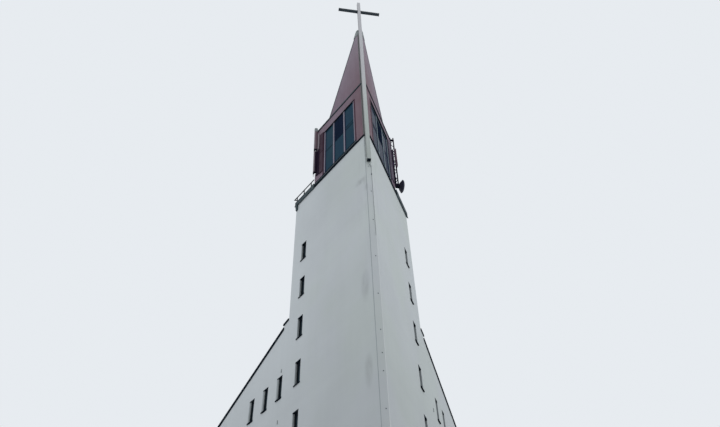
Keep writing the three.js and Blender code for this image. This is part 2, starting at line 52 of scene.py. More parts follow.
modelScale = 0.5
halfCorner = math.radians(30)     # half of the plan's sharp front corner
sine, cosine, tangent = math.sin(halfCorner), math.cos(halfCorner), math.tan(halfCorner)
chamfer = 0.3                     # cut off each side wall at the front corner
chamferY = chamfer * cosine
halfChamfer = chamfer * sine
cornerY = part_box("tower_front_corner")[0].y - modelScale * chamferY
sides = {"left": -1, "right": 1}


def realTop(node):
    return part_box(node)[1].z / modelScale


def realBack(node):
    return (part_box(node)[1].y - cornerY) / modelScale


church = {
    "towerTop": realTop("tower_front_corner"),
    "belfryTop": realTop("belfry_front_corner"),
    "belfryRoof": realTop("belfry_roof"),
    "belfryBack": realBack("belfry_back_wall"),
    "belfrySide": 4.8,
    "towerBack": realBack("tower_back_wall"),
    "naveBack": realBack("nave_rear_wall"),
    "wall": 0.4,
}
slopes = {
    "verge": 25.86,               # height of the verge line at the front corner
    "vergeFall": 0.486 / cosine,
    "parapet": 0.12,              # roof sheet below the verge line
    "spireApex": 45.56,
    "spirePitch": 2.7347,
}


def fromReal(x, y, z):
    return Vector((x * modelScale, cornerY + y * modelScale, z * modelScale))


# A place on a side wall: along it from the sharp corner, in from its face, and up.
def sideWall(side):
    def at(along, inset, height):
        x = along * sine - inset * cosine
        y = along * cosine + inset * sine
        return fromReal(side * x, y, height)
    return at


def facingBack(depth):
    return lambda across, inset, height: fromReal(across, depth - inset, height)


def facingFront(depth):
    return lambda across, inset, height: fromReal(across, depth + inset, height)


def facingSide(side, distance):
    return lambda depth, inset, height: fromReal(side * (distance - inset), depth, height)


# The spire's steep back: across, in from the sheet, and up.
def spireBack(across, inset, height):
    pitch = slopes["spirePitch"]
    outward = Vector((0, pitch, 1)).normalized() * inset
    return fromReal(across, (slopes["spireApex"] - height) / pitch - outward.y, height - outward.z)


# The nave roof: across, above the sheet, and back from the corner.
def naveRoof(across, lift, depth):
    outward = Vector((0, slopes["vergeFall"], 1)).normalized() * lift
    height = slopes["verge"] - slopes["parapet"] - slopes["vergeFall"] * depth
    return fromReal(across, depth + outward.y, height + outward.z)


def vergeHeight(along):
    return slopes["verge"] - slopes["vergeFall"] * along * cosine


# Mesh tools

sharpTurn = 0.6                   # edges that turn more than this, in radians, can be softened
smoothAngle = math.radians(40)    # faces that meet at less than this look smooth


def newMeshes(count):
    return [bmesh.new() for number in range(count)]


# The span that reaches equally far both ways, and a span that is cut short at both ends.
def around(middle, half):
    return middle - half, middle + half


def drawnIn(span, margin):
    return span[0] + margin, span[1] - margin


def addLoft(mesh, rings, smooth=False):
    loops = [[mesh.verts.new(point) for point in ring] for ring in rings]
    for first, second in zip(loops, loops[1:]):
        for i in range(len(first)):
            j = (i + 1) % len(first)
            mesh.faces.new((first[i], first[j], second[j], second[i])).smooth = smooth
    mesh.faces.new(loops[0])
    mesh.faces.new(list(reversed(loops[-1])))


def addBlock(mesh, at, along, inset, height):
    plan = [(along[0], inset[0]), (along[1], inset[0]), (along[1], inset[1]), (along[0], inset[1])]
    addLoft(mesh, [[at(a, d, z) for a, d in plan] for z in height])


# A profile of insets and heights, run along a wall.
def addSweep(mesh, at, along, profile):
    addLoft(mesh, [[at(a, d, z) for d, z in profile] for a in along])


# A plate with an outline of alongs and heights.
def addPlate(mesh, at, inset, outline):
    addLoft(mesh, [[at(a, d, z) for a, z in outline] for d in inset])


# A rectangular frame with an open middle.
def addHoop(mesh, at, along, inset, height, width):
    (near, far), (low, high) = along, height
    outer = [(near, low), (far, low), (far, high), (near, high)]
    (near, far), (low, high) = drawnIn(along, width), drawnIn(height, width)
    inner = [(near, low), (far, low), (far, high), (near, high)]
    rings = []
    for outline, d in ((outer, inset[0]), (outer, inset[1]), (inner, inset[1]), (inner, inset[0])):
        rings.append([mesh.verts.new(at(a, d, z)) for a, z in outline])
    for k in range(4):
        first, second = rings[k], rings[(k + 1) % 4]
        for i in range(4):
            j = (i + 1) % 4
            mesh.faces.new((first[i], first[j], second[j], second[i]))


# Unit vectors all round an axis, square to it.
def spokesAround(axis, faces):
    helper = Vector((0, 0, 1)) if abs(axis.z) < 0.9 else Vector((1, 0, 0))
    across = axis.cross(helper).normalized()
    up = axis.cross(across)
    turns = [2 * math.pi * k / faces for k in range(faces)]
    return [across * math.cos(t) + up * math.sin(t) for t in turns]


# A round bar through points in the model's own metres, with mitred bends.
def addTube(mesh, points, radius, faces=12):
    ways = [(b - a).normalized() for a, b in zip(points, points[1:])]
    ring = [points[0] + spoke * radius * modelScale for spoke in spokesAround(ways[0], faces)]
    rings = [ring]
    for i, way in enumerate(ways):
        end = points[i + 1]
        normal = way if i == len(ways) - 1 else (way + ways[i + 1]).normalized()
        ring = [p + way * ((end - p).dot(normal) / way.dot(normal)) for p in ring]
        rings.append(ring)
    addLoft(mesh, rings, smooth=True)


# A turned shape: distances along an axis with the radius at each.
def addTurned(mesh, foot, axis, profile, faces=24):
    axis = axis.normalized()
    spokes = spokesAround(axis, faces)
    rings = []
    for distance, radius in profile:
        centre = foot + axis * distance * modelScale
        rings.append([centre + spoke * radius * modelScale for spoke in spokes])
    addLoft(mesh, rings, smooth=True)


# A bolt head with its stub.
def addBolt(mesh, foot, axis, head):
    profile = [(0, head), (head * 0.7, head), (head * 0.8, head * 0.55), (head * 1.6, head * 0.5)]
    addTurned(mesh, foot, axis, profile, faces=6)


def softenEdges(mesh, width, steps=2):
    sharp = [e for e in mesh.edges if e.is_manifold and e.calc_face_angle() > sharpTurn]
    bmesh.ops.bevel(mesh, geom=sharp, offset=width * modelScale, segments=steps, profile=0.5,
                    affect="EDGES", clamp_overlap=True)


def addObject(name, data):
    made = bpy.data.objects.new(name, data)
    bpy.context.scene.collection.objects.link(made)
    return made


# Turns a mesh into a piece, in place of the solids named in replaced. soften is its edges' bevel.
def makePiece(name, mesh, finish, replaced=(), soften=0.0):
    if soften:
        softenEdges(mesh, soften)
    bmesh.ops.recalc_face_normals(mesh, faces=mesh.faces)
    data = bpy.data.meshes.new(name)
    mesh.to_mesh(data)
    mesh.free()
    data.materials.append(finishes[finish])
    data.set_sharp_from_angle(angle=smoothAngle)
    piece = addObject(name, data)
    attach(piece, "root")
    if replaced:
        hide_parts(*replaced)


# Material tools

def addNode(tree, kind, inputs=None, **settings):
    made = tree.nodes.new(kind)
    for key, value in settings.items():
        setattr(made, key, value)
    for key, value in (inputs or {}).items():
        if isinstance(value, bpy.types.NodeSocket):
            tree.links.new(value, made.inputs[key])
        else:
            made.inputs[key].default_value = value
    return made


# Starts a finish. The last thing returned is the place on the building, in real metres.
def startFinish(name, roughness, specular, **sockets):
    material = bpy.data.materials.new(name)
    material.use_nodes = True
    tree = material.node_tree
    tree.nodes.clear()
    inputs = {"Roughness": roughness, "Specular IOR Level": specular, **sockets}
    shader = addNode(tree, "ShaderNodeBsdfPrincipled", inputs)
    addNode(tree, "ShaderNodeOutputMaterial", {"Surface": shader.outputs["BSDF"]})
    coords = addNode(tree, "ShaderNodeTexCoord").outputs["Object"]
    place = addNode(tree, "ShaderNodeVectorMath", {0: coords, 1: (1 / modelScale,) * 3}, operation="MULTIPLY")
    return material, tree, shader, place.outputs["Vector"]


# Cloudy noise from 0 to 1. size is how wide, deep and tall its patches are, in metres.
def cloud(tree, place, size, detail=3.0, shift=0.0):
    wide, deep, tall = size
    inputs = {"Vector": place, "Location": (shift, shift, shift), "Scale": (1 / wide, 1 / deep, 1 / tall)}
    scaled = addNode(tree, "ShaderNodeMapping", inputs).outputs["Vector"]
    noise = addNode(tree, "ShaderNodeTexNoise", {"Vector": scaled, "Scale": 1.0, "Detail": detail})
    return noise.outputs["Fac"]


def remap(tree, value, fromLow, fromHigh, toLow, toHigh):
    inputs = {"Value": value, "From Min": fromLow, "From Max": fromHigh, "To Min": toLow, "To Max": toHigh}
    return addNode(tree, "ShaderNodeMapRange", inputs).outputs["Result"]


# A cloud whose usual values are spread from low to high.
def spread(tree, place, size, detail=3.0, shift=0.0, low=0, high=1):
    return remap(tree, cloud(tree, place, size, detail, shift), 0.3, 0.7, low, high)


# A brightness that wavers about 1 with a cloud.
def waver(tree, place, size, amount, detail=4, shift=0.0):
    return spread(tree, place, size, detail, shift, 1 - amount, 1 + amount)


def calc(tree, operation, first, second=0.0):
    return addNode(tree, "ShaderNodeMath", {0: first, 1: second}, operation=operation).outputs["Value"]


def blendColours(tree, factor, first, second):
    mix = addNode(tree, "ShaderNodeMix", data_type="RGBA")
    for index, value in ((0, factor), (6, first), (7, second)):
        if isinstance(value, bpy.types.NodeSocket):
            tree.links.new(value, mix.inputs[index])
        else:
            mix.inputs[index].default_value = (*value, 1) if index else value
    return mix.outputs[2]


def darken(tree, colour, *factors):
    for factor in factors:
        scaled = addNode(tree, "ShaderNodeVectorMath", {0: colour, "Scale": factor}, operation="SCALE")
        colour = scaled.outputs["Vector"]
    return colour


def addBump(tree, shader, height, strength, distance):
    inputs = {"Height": height, "Strength": strength, "Distance": distance}
    bump = addNode(tree, "ShaderNodeBump", inputs)
    tree.links.new(bump.outputs["Normal"], shader.inputs["Normal"])


def setColour(tree, shader, colour):
    tree.links.new(colour, shader.inputs["Base Color"])


def part(tree, place, axis):
    return addNode(tree, "ShaderNodeSeparateXYZ", {"Vector": place}).outputs[axis]


# How far a place is to either side of the building's middle.
def fromMiddle(tree, place):
    return calc(tree, "ABSOLUTE", part(tree, place, "X"))


# Finishes

renderWall = {
    "greenish": (0.660, 0.702, 0.690),
    "bluish": (0.670, 0.700, 0.716),
    "mottle": 0.022,
    "band": 0.008,                # faint lifts of the plastering
    "runs": 0.008,
    "grain": 0.012,               # size of the sand grains' clumps
    "footShade": 0.76,                 # brightness towards the foot
    "footShadeHeights": (8, 24),
    "streakLength": 3.2,          # of the wetted streaks below the tower's top
    "mastStain": (20, 27.5),      # the stain under the mast grows between these heights
    # painted shade: the corner strip is darkened, as it faces the light at another angle than the walls
    # beside it
    "cornerShade": 0.94,          # brightness of the strip at the front corner
    "prowStain": 0.12,
    # smudges on the left wall: along it, height, half width, half height
    "smudges": ((0.79, 20.65, 0.35, 1.0), (0.83, 16.3, 0.3, 0.9), (0.46, 27.69, 0.17, 0.45),
                (0.91, 27.86, 0.34, 0.3), (0.35, 26.98, 0.12, 0.35), (0.7, 27.8, 0.25, 0.3)),
    "smudgeDepth": 0.16,
    "naveLift": 1.09,             # brightness of the left wall far from the corner
    "naveFrom": (-3.8, -1.8),     # and the places across where that begins
}


# A soft spot that fades to nothing at its edge.
def smudge(tree, along, z, spot):
    middle, height, halfWidth, halfHeight = spot
    flat = addNode(tree, "ShaderNodeCombineXYZ", {"X": along, "Y": z}).outputs["Vector"]
    inputs = {"Vector": flat, "Location": (middle, height, 0), "Scale": (halfWidth, halfHeight, 1)}
    centred = addNode(tree, "ShaderNodeMapping", inputs, vector_type="TEXTURE").outputs["Vector"]
    fade = addNode(tree, "ShaderNodeTexGradient", {"Vector": centred}, gradient_type="SPHERICAL")
    return fade.outputs["Fac"]


# Painted render: mottled, banded, stained under the copings and the mast, and dimmer towards its foot with
# painted shade.
def whiteRender():
    r = renderWall
    material, tree, shader, place = startFinish("white render", 0.9, 0.3)
    x, z, middle = part(tree, place, "X"), part(tree, place, "Z"), fromMiddle(tree, place)
    away = remap(tree, x, *r["naveFrom"], 1, 0)
    hue = calc(tree, "ADD", remap(tree, cloud(tree, place, (3.5, 3.5, 4.0), 3), 0.4, 0.6, 0, 1), away)
    colour = blendColours(tree, hue, r["greenish"], r["bluish"])
    streaks = cloud(tree, place, (0.35, 0.35, 5.0), 4, 7)
    # wetted streaks hang below the copings and under the mast's foot
    underTop = remap(tree, z, church["towerTop"] - r["streakLength"], church["towerTop"], 0, 1)
    stain = calc(tree, "MULTIPLY", underTop, remap(tree, streaks, 0.5, 0.75, 0, 0.05))
    stainedUp = remap(tree, z, *r["mastStain"], 0, 1)
    underMast = calc(tree, "MULTIPLY", remap(tree, middle, 0.12, 0.75, 1, 0), stainedUp)
    prowNoise = remap(tree, cloud(tree, place, (0.3, 0.3, 1.4), 5, 11), 0.48, 0.72, 0, r["prowStain"])
    stain = calc(tree, "ADD", stain, calc(tree, "MULTIPLY", underMast, prowNoise))
    leftAlong = calc(tree, "MULTIPLY", x, -1 / sine)
    deep = r["smudgeDepth"]
    ragged = remap(tree, cloud(tree, place, (0.25, 0.25, 0.6), 4, 15), 0.3, 0.65, 0.4 * deep, deep)
    for spot in r["smudges"]:
        mark = remap(tree, smudge(tree, leftAlong, z, spot), 0.0, 0.6, 0, 1)
        stain = calc(tree, "ADD", stain, calc(tree, "MULTIPLY", mark, ragged))
    colour = darken(
        tree, colour,
        # painted shade: darker towards the foot
        remap(tree, z, *r["footShadeHeights"], r["footShade"], 1.0),
        remap(tree, away, 0, 1, 1.0, r["naveLift"]),
        # painted shade on the strip at the front corner
        remap(tree, middle, halfChamfer - 0.01, halfChamfer, r["cornerShade"], 1.0),
        waver(tree, place, (2.2, 2.2, 3.0), r["mottle"], 4, 21),
        waver(tree, place, (9.0, 9.0, 0.45), r["band"], 3, 9),
        remap(tree, streaks, 0.3, 0.7, 1 - r["runs"], 1 + r["runs"]),
        calc(tree, "SUBTRACT", 1.0, stain),
    )
    setColour(tree, shader, colour)
    grain = cloud(tree, place, (r["grain"],) * 3, 2)
    trowel = cloud(tree, place, (1.6, 1.6, 1.6), 3, 5)
    addBump(tree, shader, calc(tree, "ADD", grain, calc(tree, "MULTIPLY", trowel, 4.0)), 0.35, 0.0015)
    return material


cladding = {
    "nearCorner": (0.200, 0.115, 0.138),
    "away": (0.245, 0.178, 0.228),
    "paleTop": (0.320, 0.260, 0.315),    # towards the spire's top
    "paleTopHeights": (37, 44),
    "roughness": (0.54, 0.68),
    "sheetWidth": 0.8,
    "sheetHeight": 2.4,
    "seam": 0.02,
    "seamShade": 0.93,
}


# Painted flat-lock sheet, redder by the corner, with faint seams, dents and run marks.
def redSheet():
    c = cladding
    material, tree, shader, place = startFinish("red sheet", 0.6, 0.18)
    z = part(tree, place, "Z")
    along = calc(tree, "MULTIPLY", fromMiddle(tree, place), 1 / sine)
    drift = spread(tree, place, (1.2,) * 3, high=0.25)
    hue = calc(tree, "ADD", remap(tree, along, 0.3, 2.4, 0, 0.8), drift)
    colour = blendColours(tree, hue, c["nearCorner"], c["away"])
    # paler towards the spire's top
    colour = blendColours(tree, remap(tree, z, *c["paleTopHeights"], 0, 1), colour, c["paleTop"])
    across = calc(tree, "FRACT", calc(tree, "DIVIDE", along, c["sheetWidth"]))
    upward = calc(tree, "FRACT", calc(tree, "DIVIDE", z, c["sheetHeight"]))
    onAcross = calc(tree, "LESS_THAN", across, c["seam"] / c["sheetWidth"])
    onUpward = calc(tree, "LESS_THAN", upward, c["seam"] / c["sheetHeight"])
    seams = calc(tree, "MAXIMUM", onAcross, onUpward)
    runs = waver(tree, place, (0.25, 0.25, 3.5), 0.05, 4, 2)
    setColour(tree, shader, darken(tree, colour, runs, remap(tree, seams, 0, 1, 1, c["seamShade"])))
    dents = cloud(tree, place, (0.9, 0.9, 1.3), 2, 4)
    addBump(tree, shader, calc(tree, "ADD", calc(tree, "MULTIPLY", dents, 3.0), seams), 0.5, 0.003)
    wear = spread(tree, place, (0.4, 0.4, 1.0), 4, 9, *c["roughness"])
    tree.links.new(wear, shader.inputs["Roughness"])
    return material


# Painted or zinc sheet and steel: a tone, patches of a second tone, run marks and shallow dents.
def metalFinish(name, tone, second, roughness=0.55, runs=0.1, dent=0.001, specular=0.2):
    material, tree, shader, place = startFinish(name, roughness, specular)
    colour = blendColours(tree, spread(tree, place, (0.5, 0.5, 0.8), 4), tone, second)
    setColour(tree, shader, darken(tree, colour, waver(tree, place, (0.12, 0.12, 1.6), runs, 4, 6)))
    wear = spread(tree, place, (0.2, 0.2, 0.4), 3, 8, roughness - 0.08, roughness + 0.1)
    tree.links.new(wear, shader.inputs["Roughness"])
    addBump(tree, shader, cloud(tree, place, (0.5, 0.5, 0.5), 2, 1), 0.5, dent)
    return material


mastPaint = {
    "tone": (0.57, 0.62, 0.585),
    "second": (0.53, 0.575, 0.55),
    "upper": (0.55, 0.542, 0.562),
    "upperHeights": (33, 39),
    "shadeSide": 0.66,
    "low": 0.80,                  # brightness at the foot and up the mast
    "high": 1.10,
    "toneHeights": (29, 36),
}


# Pale painted steel with painted shade on its left side, and darker towards its foot.
def palePaint():
    m = mastPaint
    material, tree, shader, place = startFinish("mast paint", 0.5, 0.3)
    colour = blendColours(tree, spread(tree, place, (0.4, 0.4, 1.2), 4), m["tone"], m["second"])
    # painted shade: faces turned to the left are darker
    facing = addNode(tree, "ShaderNodeNewGeometry").outputs["Normal"]
    leftSideShade = remap(tree, part(tree, facing, "X"), -0.9, -0.4, m["shadeSide"], 1.0)
    height = part(tree, place, "Z")
    colour = blendColours(tree, remap(tree, height, *m["upperHeights"], 0, 1), colour, m["upper"])
    # darker towards the mast's foot, lighter up the mast
    heightTone = remap(tree, height, *m["toneHeights"], m["low"], m["high"])
    runs = waver(tree, place, (0.06, 0.06, 1.5), 0.05, 4, 6)
    setColour(tree, shader, darken(tree, colour, leftSideShade, heightTone, runs))
    addBump(tree, shader, cloud(tree, place, (0.05, 0.05, 0.05), 3, 1), 0.3, 0.0005)
    return material


concreteTones = ((0.42, 0.42, 0.40), (0.34, 0.34, 0.325))
woodTones = ((0.075, 0.048, 0.032), (0.045, 0.030, 0.022))


def concrete():
    material, tree, shader, place = startFinish("concrete", 0.9, 0.3)
    patches = spread(tree, place, (1.2, 1.2, 0.8), 5)
    colour = blendColours(tree, patches, *concreteTones)
    pores = cloud(tree, place, (0.03, 0.03, 0.03), 3)
    setColour(tree, shader, darken(tree, colour, remap(tree, pores, 0.3, 0.7, 0.93, 1.05)))
    addBump(tree, shader, pores, 0.4, 0.002)
    return material


# Dark filmed glass. A low index keeps the sky out of it except at a glancing angle.
def glassFinish(name, tone, second, index, roughness=0.14):
    material, tree, shader, place = startFinish(name, roughness, 0.5, IOR=index)
    drift = remap(tree, cloud(tree, place, (0.9, 0.9, 1.8), 2, 13), 0.35, 0.65, 0, 1)
    dust = remap(tree, cloud(tree, place, (0.15, 0.15, 0.6), 4, 3), 0.4, 0.8, 1.0, 1.12)
    setColour(tree, shader, darken(tree, blendColours(tree, drift, tone, second), dust))
    addBump(tree, shader, cloud(tree, place, (0.6, 0.6, 0.6), 1, 2), 0.3, 0.002)
    return material


def doorWood():
    material, tree, shader, place = startFinish("door wood", 0.55, 0.4)
    grain = cloud(tree, place, (0.012, 0.012, 0.6), 5)
    rings = spread(tree, place, (0.09, 0.09, 1.5), 3, 4)
    colour = blendColours(tree, rings, *woodTones)
    setColour(tree, shader, darken(tree, colour, remap(tree, grain, 0.3, 0.7, 0.8, 1.2)))
    addBump(tree, shader, grain, 0.4, 0.001)
    return material


# Sheet and steel by the record's slot: two tones, and what differs from plain painted sheet
metals = {
    "dark_sheet": {
        "dark_sheet": ((0.050, 0.074, 0.084), (0.062, 0.088, 0.097), dict(roughness=0.6, specular=0.15)),
        # black sheet, also painted shade where it stands for shadow lines under drips, heads, sills and roof
        # edges, and for the mast's hollow foot
        "black_trim_and_shade": ((0.010, 0.015, 0.022), (0.014, 0.020, 0.028), dict(specular=0.0)),
        "arm_sheet": ((0.034, 0.046, 0.056), (0.044, 0.058, 0.068), {}),
        "rail_steel": ((0.022, 0.030, 0.036), (0.016, 0.024, 0.030), {}),
        "grey_flashing": ((0.130, 0.165, 0.180), (0.110, 0.140, 0.155), {}),
        "cap_sheet": ((0.290, 0.320, 0.320), (0.250, 0.280, 0.280), {}),
        "corner_cover": ((0.165, 0.160, 0.160), (0.140, 0.135, 0.137), dict(specular=0.25)),
    },
    "roof_sheet": {"roof_sheet": ((0.085, 0.105, 0.115), (0.065, 0.082, 0.090), dict(runs=0.15, dent=0.002))},
    "pale_steel": {
        "pale_steel": ((0.600, 0.645, 0.635), (0.55, 0.595, 0.59), dict(runs=0.05)),
        "jamb_lining": ((0.40, 0.43, 0.44), (0.36, 0.39, 0.40), dict(runs=0.05, specular=0.1)),
        "tube_steel": ((0.026, 0.020, 0.038), (0.020, 0.016, 0.030), dict(specular=0.0)),
        "mauve_steel": ((0.300, 0.190, 0.270), (0.260, 0.165, 0.235), {}),
    },
    "belfry_frame": {
        "belfry_frame": ((0.270, 0.245, 0.310), (0.245, 0.225, 0.285), dict(runs=0.06, specular=0.3)),
        "post_shade": ((0.022, 0.028, 0.066), (0.018, 0.024, 0.058), dict(specular=0.0)),
        # the right side's slate copy of the frame: painted reflection of the sky
        "slate_frame_reflection": ((0.205, 0.275, 0.300), (0.185, 0.250, 0.275), {}),
    },
    "aerial_cover": {
        "aerial_cover": ((0.060, 0.028, 0.048), (0.048, 0.022, 0.040), dict(runs=0.06, specular=0.08)),
        "maroon_cover": ((0.160, 0.098, 0.120), (0.140, 0.086, 0.108), dict(runs=0.06)),
        "dark_cover": ((0.034, 0.022, 0.040), (0.024, 0.017, 0.032), dict(runs=0.06, specular=0.0)),
        "grey_cover": ((0.310, 0.260, 0.290), (0.270, 0.230, 0.255), dict(runs=0.06)),
        "plum_cover": ((0.092, 0.062, 0.135), (0.076, 0.050, 0.112), dict(specular=0.1)),
        "plum_cover_dim": ((0.085, 0.050, 0.072), (0.066, 0.040, 0.058), dict(specular=0.05)),
        # the right side's slate copy of the covers: painted reflection of the sky
        "slate_cover_reflection": ((0.100, 0.074, 0.112), (0.078, 0.062, 0.096), dict(specular=0.1)),
    },
    "dish_sheet": {
        "dish_sheet": ((0.034, 0.037, 0.060), (0.042, 0.045, 0.070), dict(roughness=0.45, specular=0.15)),
    },
    "white_render": {
        "joint_line": ((0.38, 0.42, 0.43), (0.34, 0.38, 0.39), dict(runs=0.03)),
        # painted highlight: paler than the wall, for light catching the corner's right edge
        "bead_highlight": ((0.74, 0.765, 0.765), (0.71, 0.74, 0.74), dict(runs=0.03)),
    },
    "red_sheet": {
        # a dark maroon edge trim, partly painted shade of the shadow gap beside the openings
        "maroon_trim_and_shade": ((0.088, 0.034, 0.056), (0.076, 0.030, 0.050), dict(specular=0.05)),
        "rose_trim": ((0.360, 0.270, 0.310), (0.320, 0.240, 0.280), dict(specular=0.15)),
    },
    "belfry_glass": {"vent_blades": ((0.018, 0.029, 0.060), (0.015, 0.026, 0.055), dict(specular=0.0))},
}
# glass and glossy paint in the same way
glasses = {
    "window_glass": {
        "window_glass": ((0.020, 0.034, 0.046), (0.028, 0.044, 0.056), dict(index=1.13, roughness=0.15)),
        "window_frame": ((0.010, 0.014, 0.018), (0.014, 0.019, 0.024), dict(index=1.10, roughness=0.25)),
    },
    "belfry_glass": {
        "belfry_glass": ((0.010, 0.048, 0.088), (0.013, 0.054, 0.083), dict(index=1.055)),
        "belfry_glass_shade": ((0.012, 0.026, 0.062), (0.016, 0.030, 0.066), dict(index=1.042)),
    },
}
# solids with a finish of their own, which their slot doesn't give
ownFinish = {
    "mast": "mast_paint", "spire_cap": "cap_sheet", "cross_arm": "arm_sheet", "kerb_capping": "black_trim_and_shade",
    "verge_capping_left": "black_trim_and_shade", "verge_capping_right": "black_trim_and_shade",
}

print("making finishes")
finishes = {"white_render": whiteRender(), "red_sheet": redSheet(), "concrete": concrete(),
            "door_wood": doorWood(), "mast_paint": palePaint()}
for table, makeFinish in ((metals, metalFinish), (glasses, glassFinish)):
    for slotName, looks in table.items():
        for name, (tone, second, changes) in looks.items():
            finishes[name] = makeFinish(name.replace("_", " "), tone, second, **changes)

slotOf = {row["node"]: row["material_slot"] for row in frame["record"]["subparts"]}
for nodeName, nodeObject in frame["nodes"].items():
    nodeObject.data.materials.clear()
    nodeObject.data.materials.append(finishes[ownFinish.get(nodeName, slotOf[nodeName])])

# Slit windows. The solid sheets of glass stay as the inner panes.

slit = {
    "top": 27.44,
    "height": 1.27,
    "storey": 2.6,
    "towerAlong": {"left": 5.705, "right": 5.515},
    "towerWidth": 0.40,
    "towerRows": 9,
    "naveWidth": 0.33,
    "navePitch": 1.185,
    "naveFirst": {"left": 7.12, "right": 8.05},
    "naveDrop": {"left": 0.07, "right": 0.23},
    "naveLast": 32.6,
    "underVerge": 1.5,
    "rearTop": 6.55,
    "rearFirst": 3.0,
    "rearPitch": 2.37,
    "rearPerHalf": 5,
    "frame": 0.042,
    "sash": 0.034,
    "depth": 0.07,
    "headShadeBox": 0.15,
    "sillFace": 0.065,
    "jambLining": 0.008,
}
# by wall: frame behind the face, far jamb's flange over the wall, head's lining,
# and the sill's overhang past the flange, how proud it is and its lift above the opening's foot
slitLook = {
    "tower_left": (0.080, 0.030, 0.06, 0.035, 0.035, 0.03),
    "nave_left": (0.045, 0.105, 0.07, 0.005, 0.045, 0.08),
    "right": (0.100, 0.022, 0.10, 0.018, 0.055, 0.07),
}


def towerSlits(name):
    tops = [slit["top"] - row * slit["storey"] for row in range(slit["towerRows"])]
    return [(slit["towerAlong"][name], slit["towerWidth"], top) for top in tops]


def naveSlits(name):
    found = []
    along = slit["naveFirst"][name]
    while along < slit["naveLast"]:
        room = vergeHeight(along) - slit["underVerge"]
        row = math.ceil((slit["top"] - room) / slit["storey"])
        top = slit["top"] - slit["naveDrop"][name] - row * slit["storey"]
        found.append((along, slit["naveWidth"], top))
        along += slit["navePitch"]
    return found


def rearSlits():
    steps = [slit["rearFirst"] + slit["rearPitch"] * step for step in range(slit["rearPerHalf"])]
    return [(side * x, slit["naveWidth"], slit["rearTop"]) for x in steps for side in sides.values()]


def makeSlitWindows(name, at, places):
    frames, panes, flashings, boxes, jambs = newMeshes(5)
    front, flange, headDepth, horn, proud, lift = slitLook.get(name, slitLook["right"])
    back, inner = front + slit["depth"], front + 0.01
    for along, width, high in places:
        low = high - slit["height"]
        sill = low + lift
        near, far = opening = around(along, width / 2)
        height = (low, high)
        addHoop(frames, at, opening, (front, back), height, slit["frame"])
        edge = slit["frame"] + 0.004
        sash = drawnIn(opening, edge)
        addHoop(frames, at, sash, (front + 0.014, back), drawnIn(height, edge), slit["sash"])
        edge += slit["sash"] - 0.006
        addBlock(panes, at, drawnIn(opening, edge), (back - 0.03, back - 0.012), drawnIn(height, edge))
        # a black box under each head: painted shade, standing for the deep shadow under the head
        headShadeSpan = (high - edge - slit["headShadeBox"], high - edge + 0.004)
        addBlock(boxes, at, drawnIn(opening, edge - 0.004), (front + 0.02, back - 0.032), headShadeSpan)
        # a lining under the head, black as partly painted shade of the head's shadow, and one at each jamb
        lining, jamb = (high - headDepth, high - 0.001), (sill + 0.015, high - headDepth)
        addBlock(flashings, at, drawnIn(opening, 0.001), (-0.005, inner), lining)
        addBlock(flashings, at, (far - 0.002, far + flange), (-0.006, -0.0005), lining)
        for span in ((near + 0.001, near + slit["jambLining"]), (far - slit["jambLining"], far - 0.001)):
            addBlock(jambs, at, span, (-0.003, inner), jamb)
        addBlock(jambs, at, (far, far + flange), (-0.004, -0.0005), jamb)
        # a sill that runs in to the frame and out over the wall
        inside = [(inner, sill + 0.026), (-0.002, sill + 0.014), (-0.002, low + 0.001), (inner, low + 0.001)]
        addSweep(flashings, at, drawnIn(opening, 0.002), inside)
        drip = sill - slit["sillFace"]
        nose = [(-0.001, sill + 0.014), (-proud, sill + 0.002), (-proud, drip),
                (0.02 - proud, drip), (-0.001, sill - 0.04)]
        addSweep(flashings, at, (near - 0.018, far + flange + horn), nose)
    makePiece(name + "_slit_frames", frames, "window_frame")
    makePiece(name + "_head_shade_boxes", boxes, "black_trim_and_shade")
    makePiece(name + "_jamb_linings", jambs, "jamb_lining")
    makePiece(name + "_slit_panes", panes, "window_glass")
    makePiece(name + "_slit_flashings", flashings, "black_trim_and_shade")


print("making slit windows")
for sideName, side in sides.items():
    at = sideWall(side)
    makeSlitWindows(f"tower_{sideName}", at, towerSlits(sideName))
    makeSlitWindows(f"nave_{sideName}", at, naveSlits(sideName))
makeSlitWindows("nave_rear", facingBack(church["naveBack"]), rearSlits())

# Belfry windows

louvre = {
    "from": 1.05,
    "to": 4.09,
    "bottom": 31.86,
    "top": 36.18,
    "transom": 34.0,
    "mullions": (2.08, 3.11),
    "post": 0.14,
    "setback": 0.03,
    "depth": 0.06,
    "cover": 0.014,               # pale front plate of each post
    # painted shade: dark strips at the ends of each bay stand for the frame sides in shadow
    "shade": {"near": 0.014, "far": 0.06},   # dark frame sides seen in each bay
    "paneFront": 0.05,
    "headRail": 0.06,
    "transomBar": 0.025,
    "secondBar": 0.24,            # above the transom, in the bay by the corner
    "blades": 26,
    "ventDepth": 0.012,
    "nearTrim": {"left": 0.10, "right": 0.16},
    "farTrim": 0.05,
    # the right side takes slate copies of the frame and trim: painted reflection of the sky, glancing on that
    # side
    "farFinish": {"left": "maroon_trim_and_shade", "right": "slate_cover_reflection"},
    "postFinish": {"left": "belfry_frame", "right": "slate_frame_reflection"},
    "coverInset": 0.014,
    "sash": 0.014,
    "bite": 0.01,                 # how far a pane's edge sits in its sash
    # painted shadow: the black line above the opening stands for the shadow under its head
    "headTrim": {"left": 0.04, "right": 0.33},   # black line above the opening
    "paneFinish": {"left": "belfry_glass", "right": "belfry_glass_shade"},
}


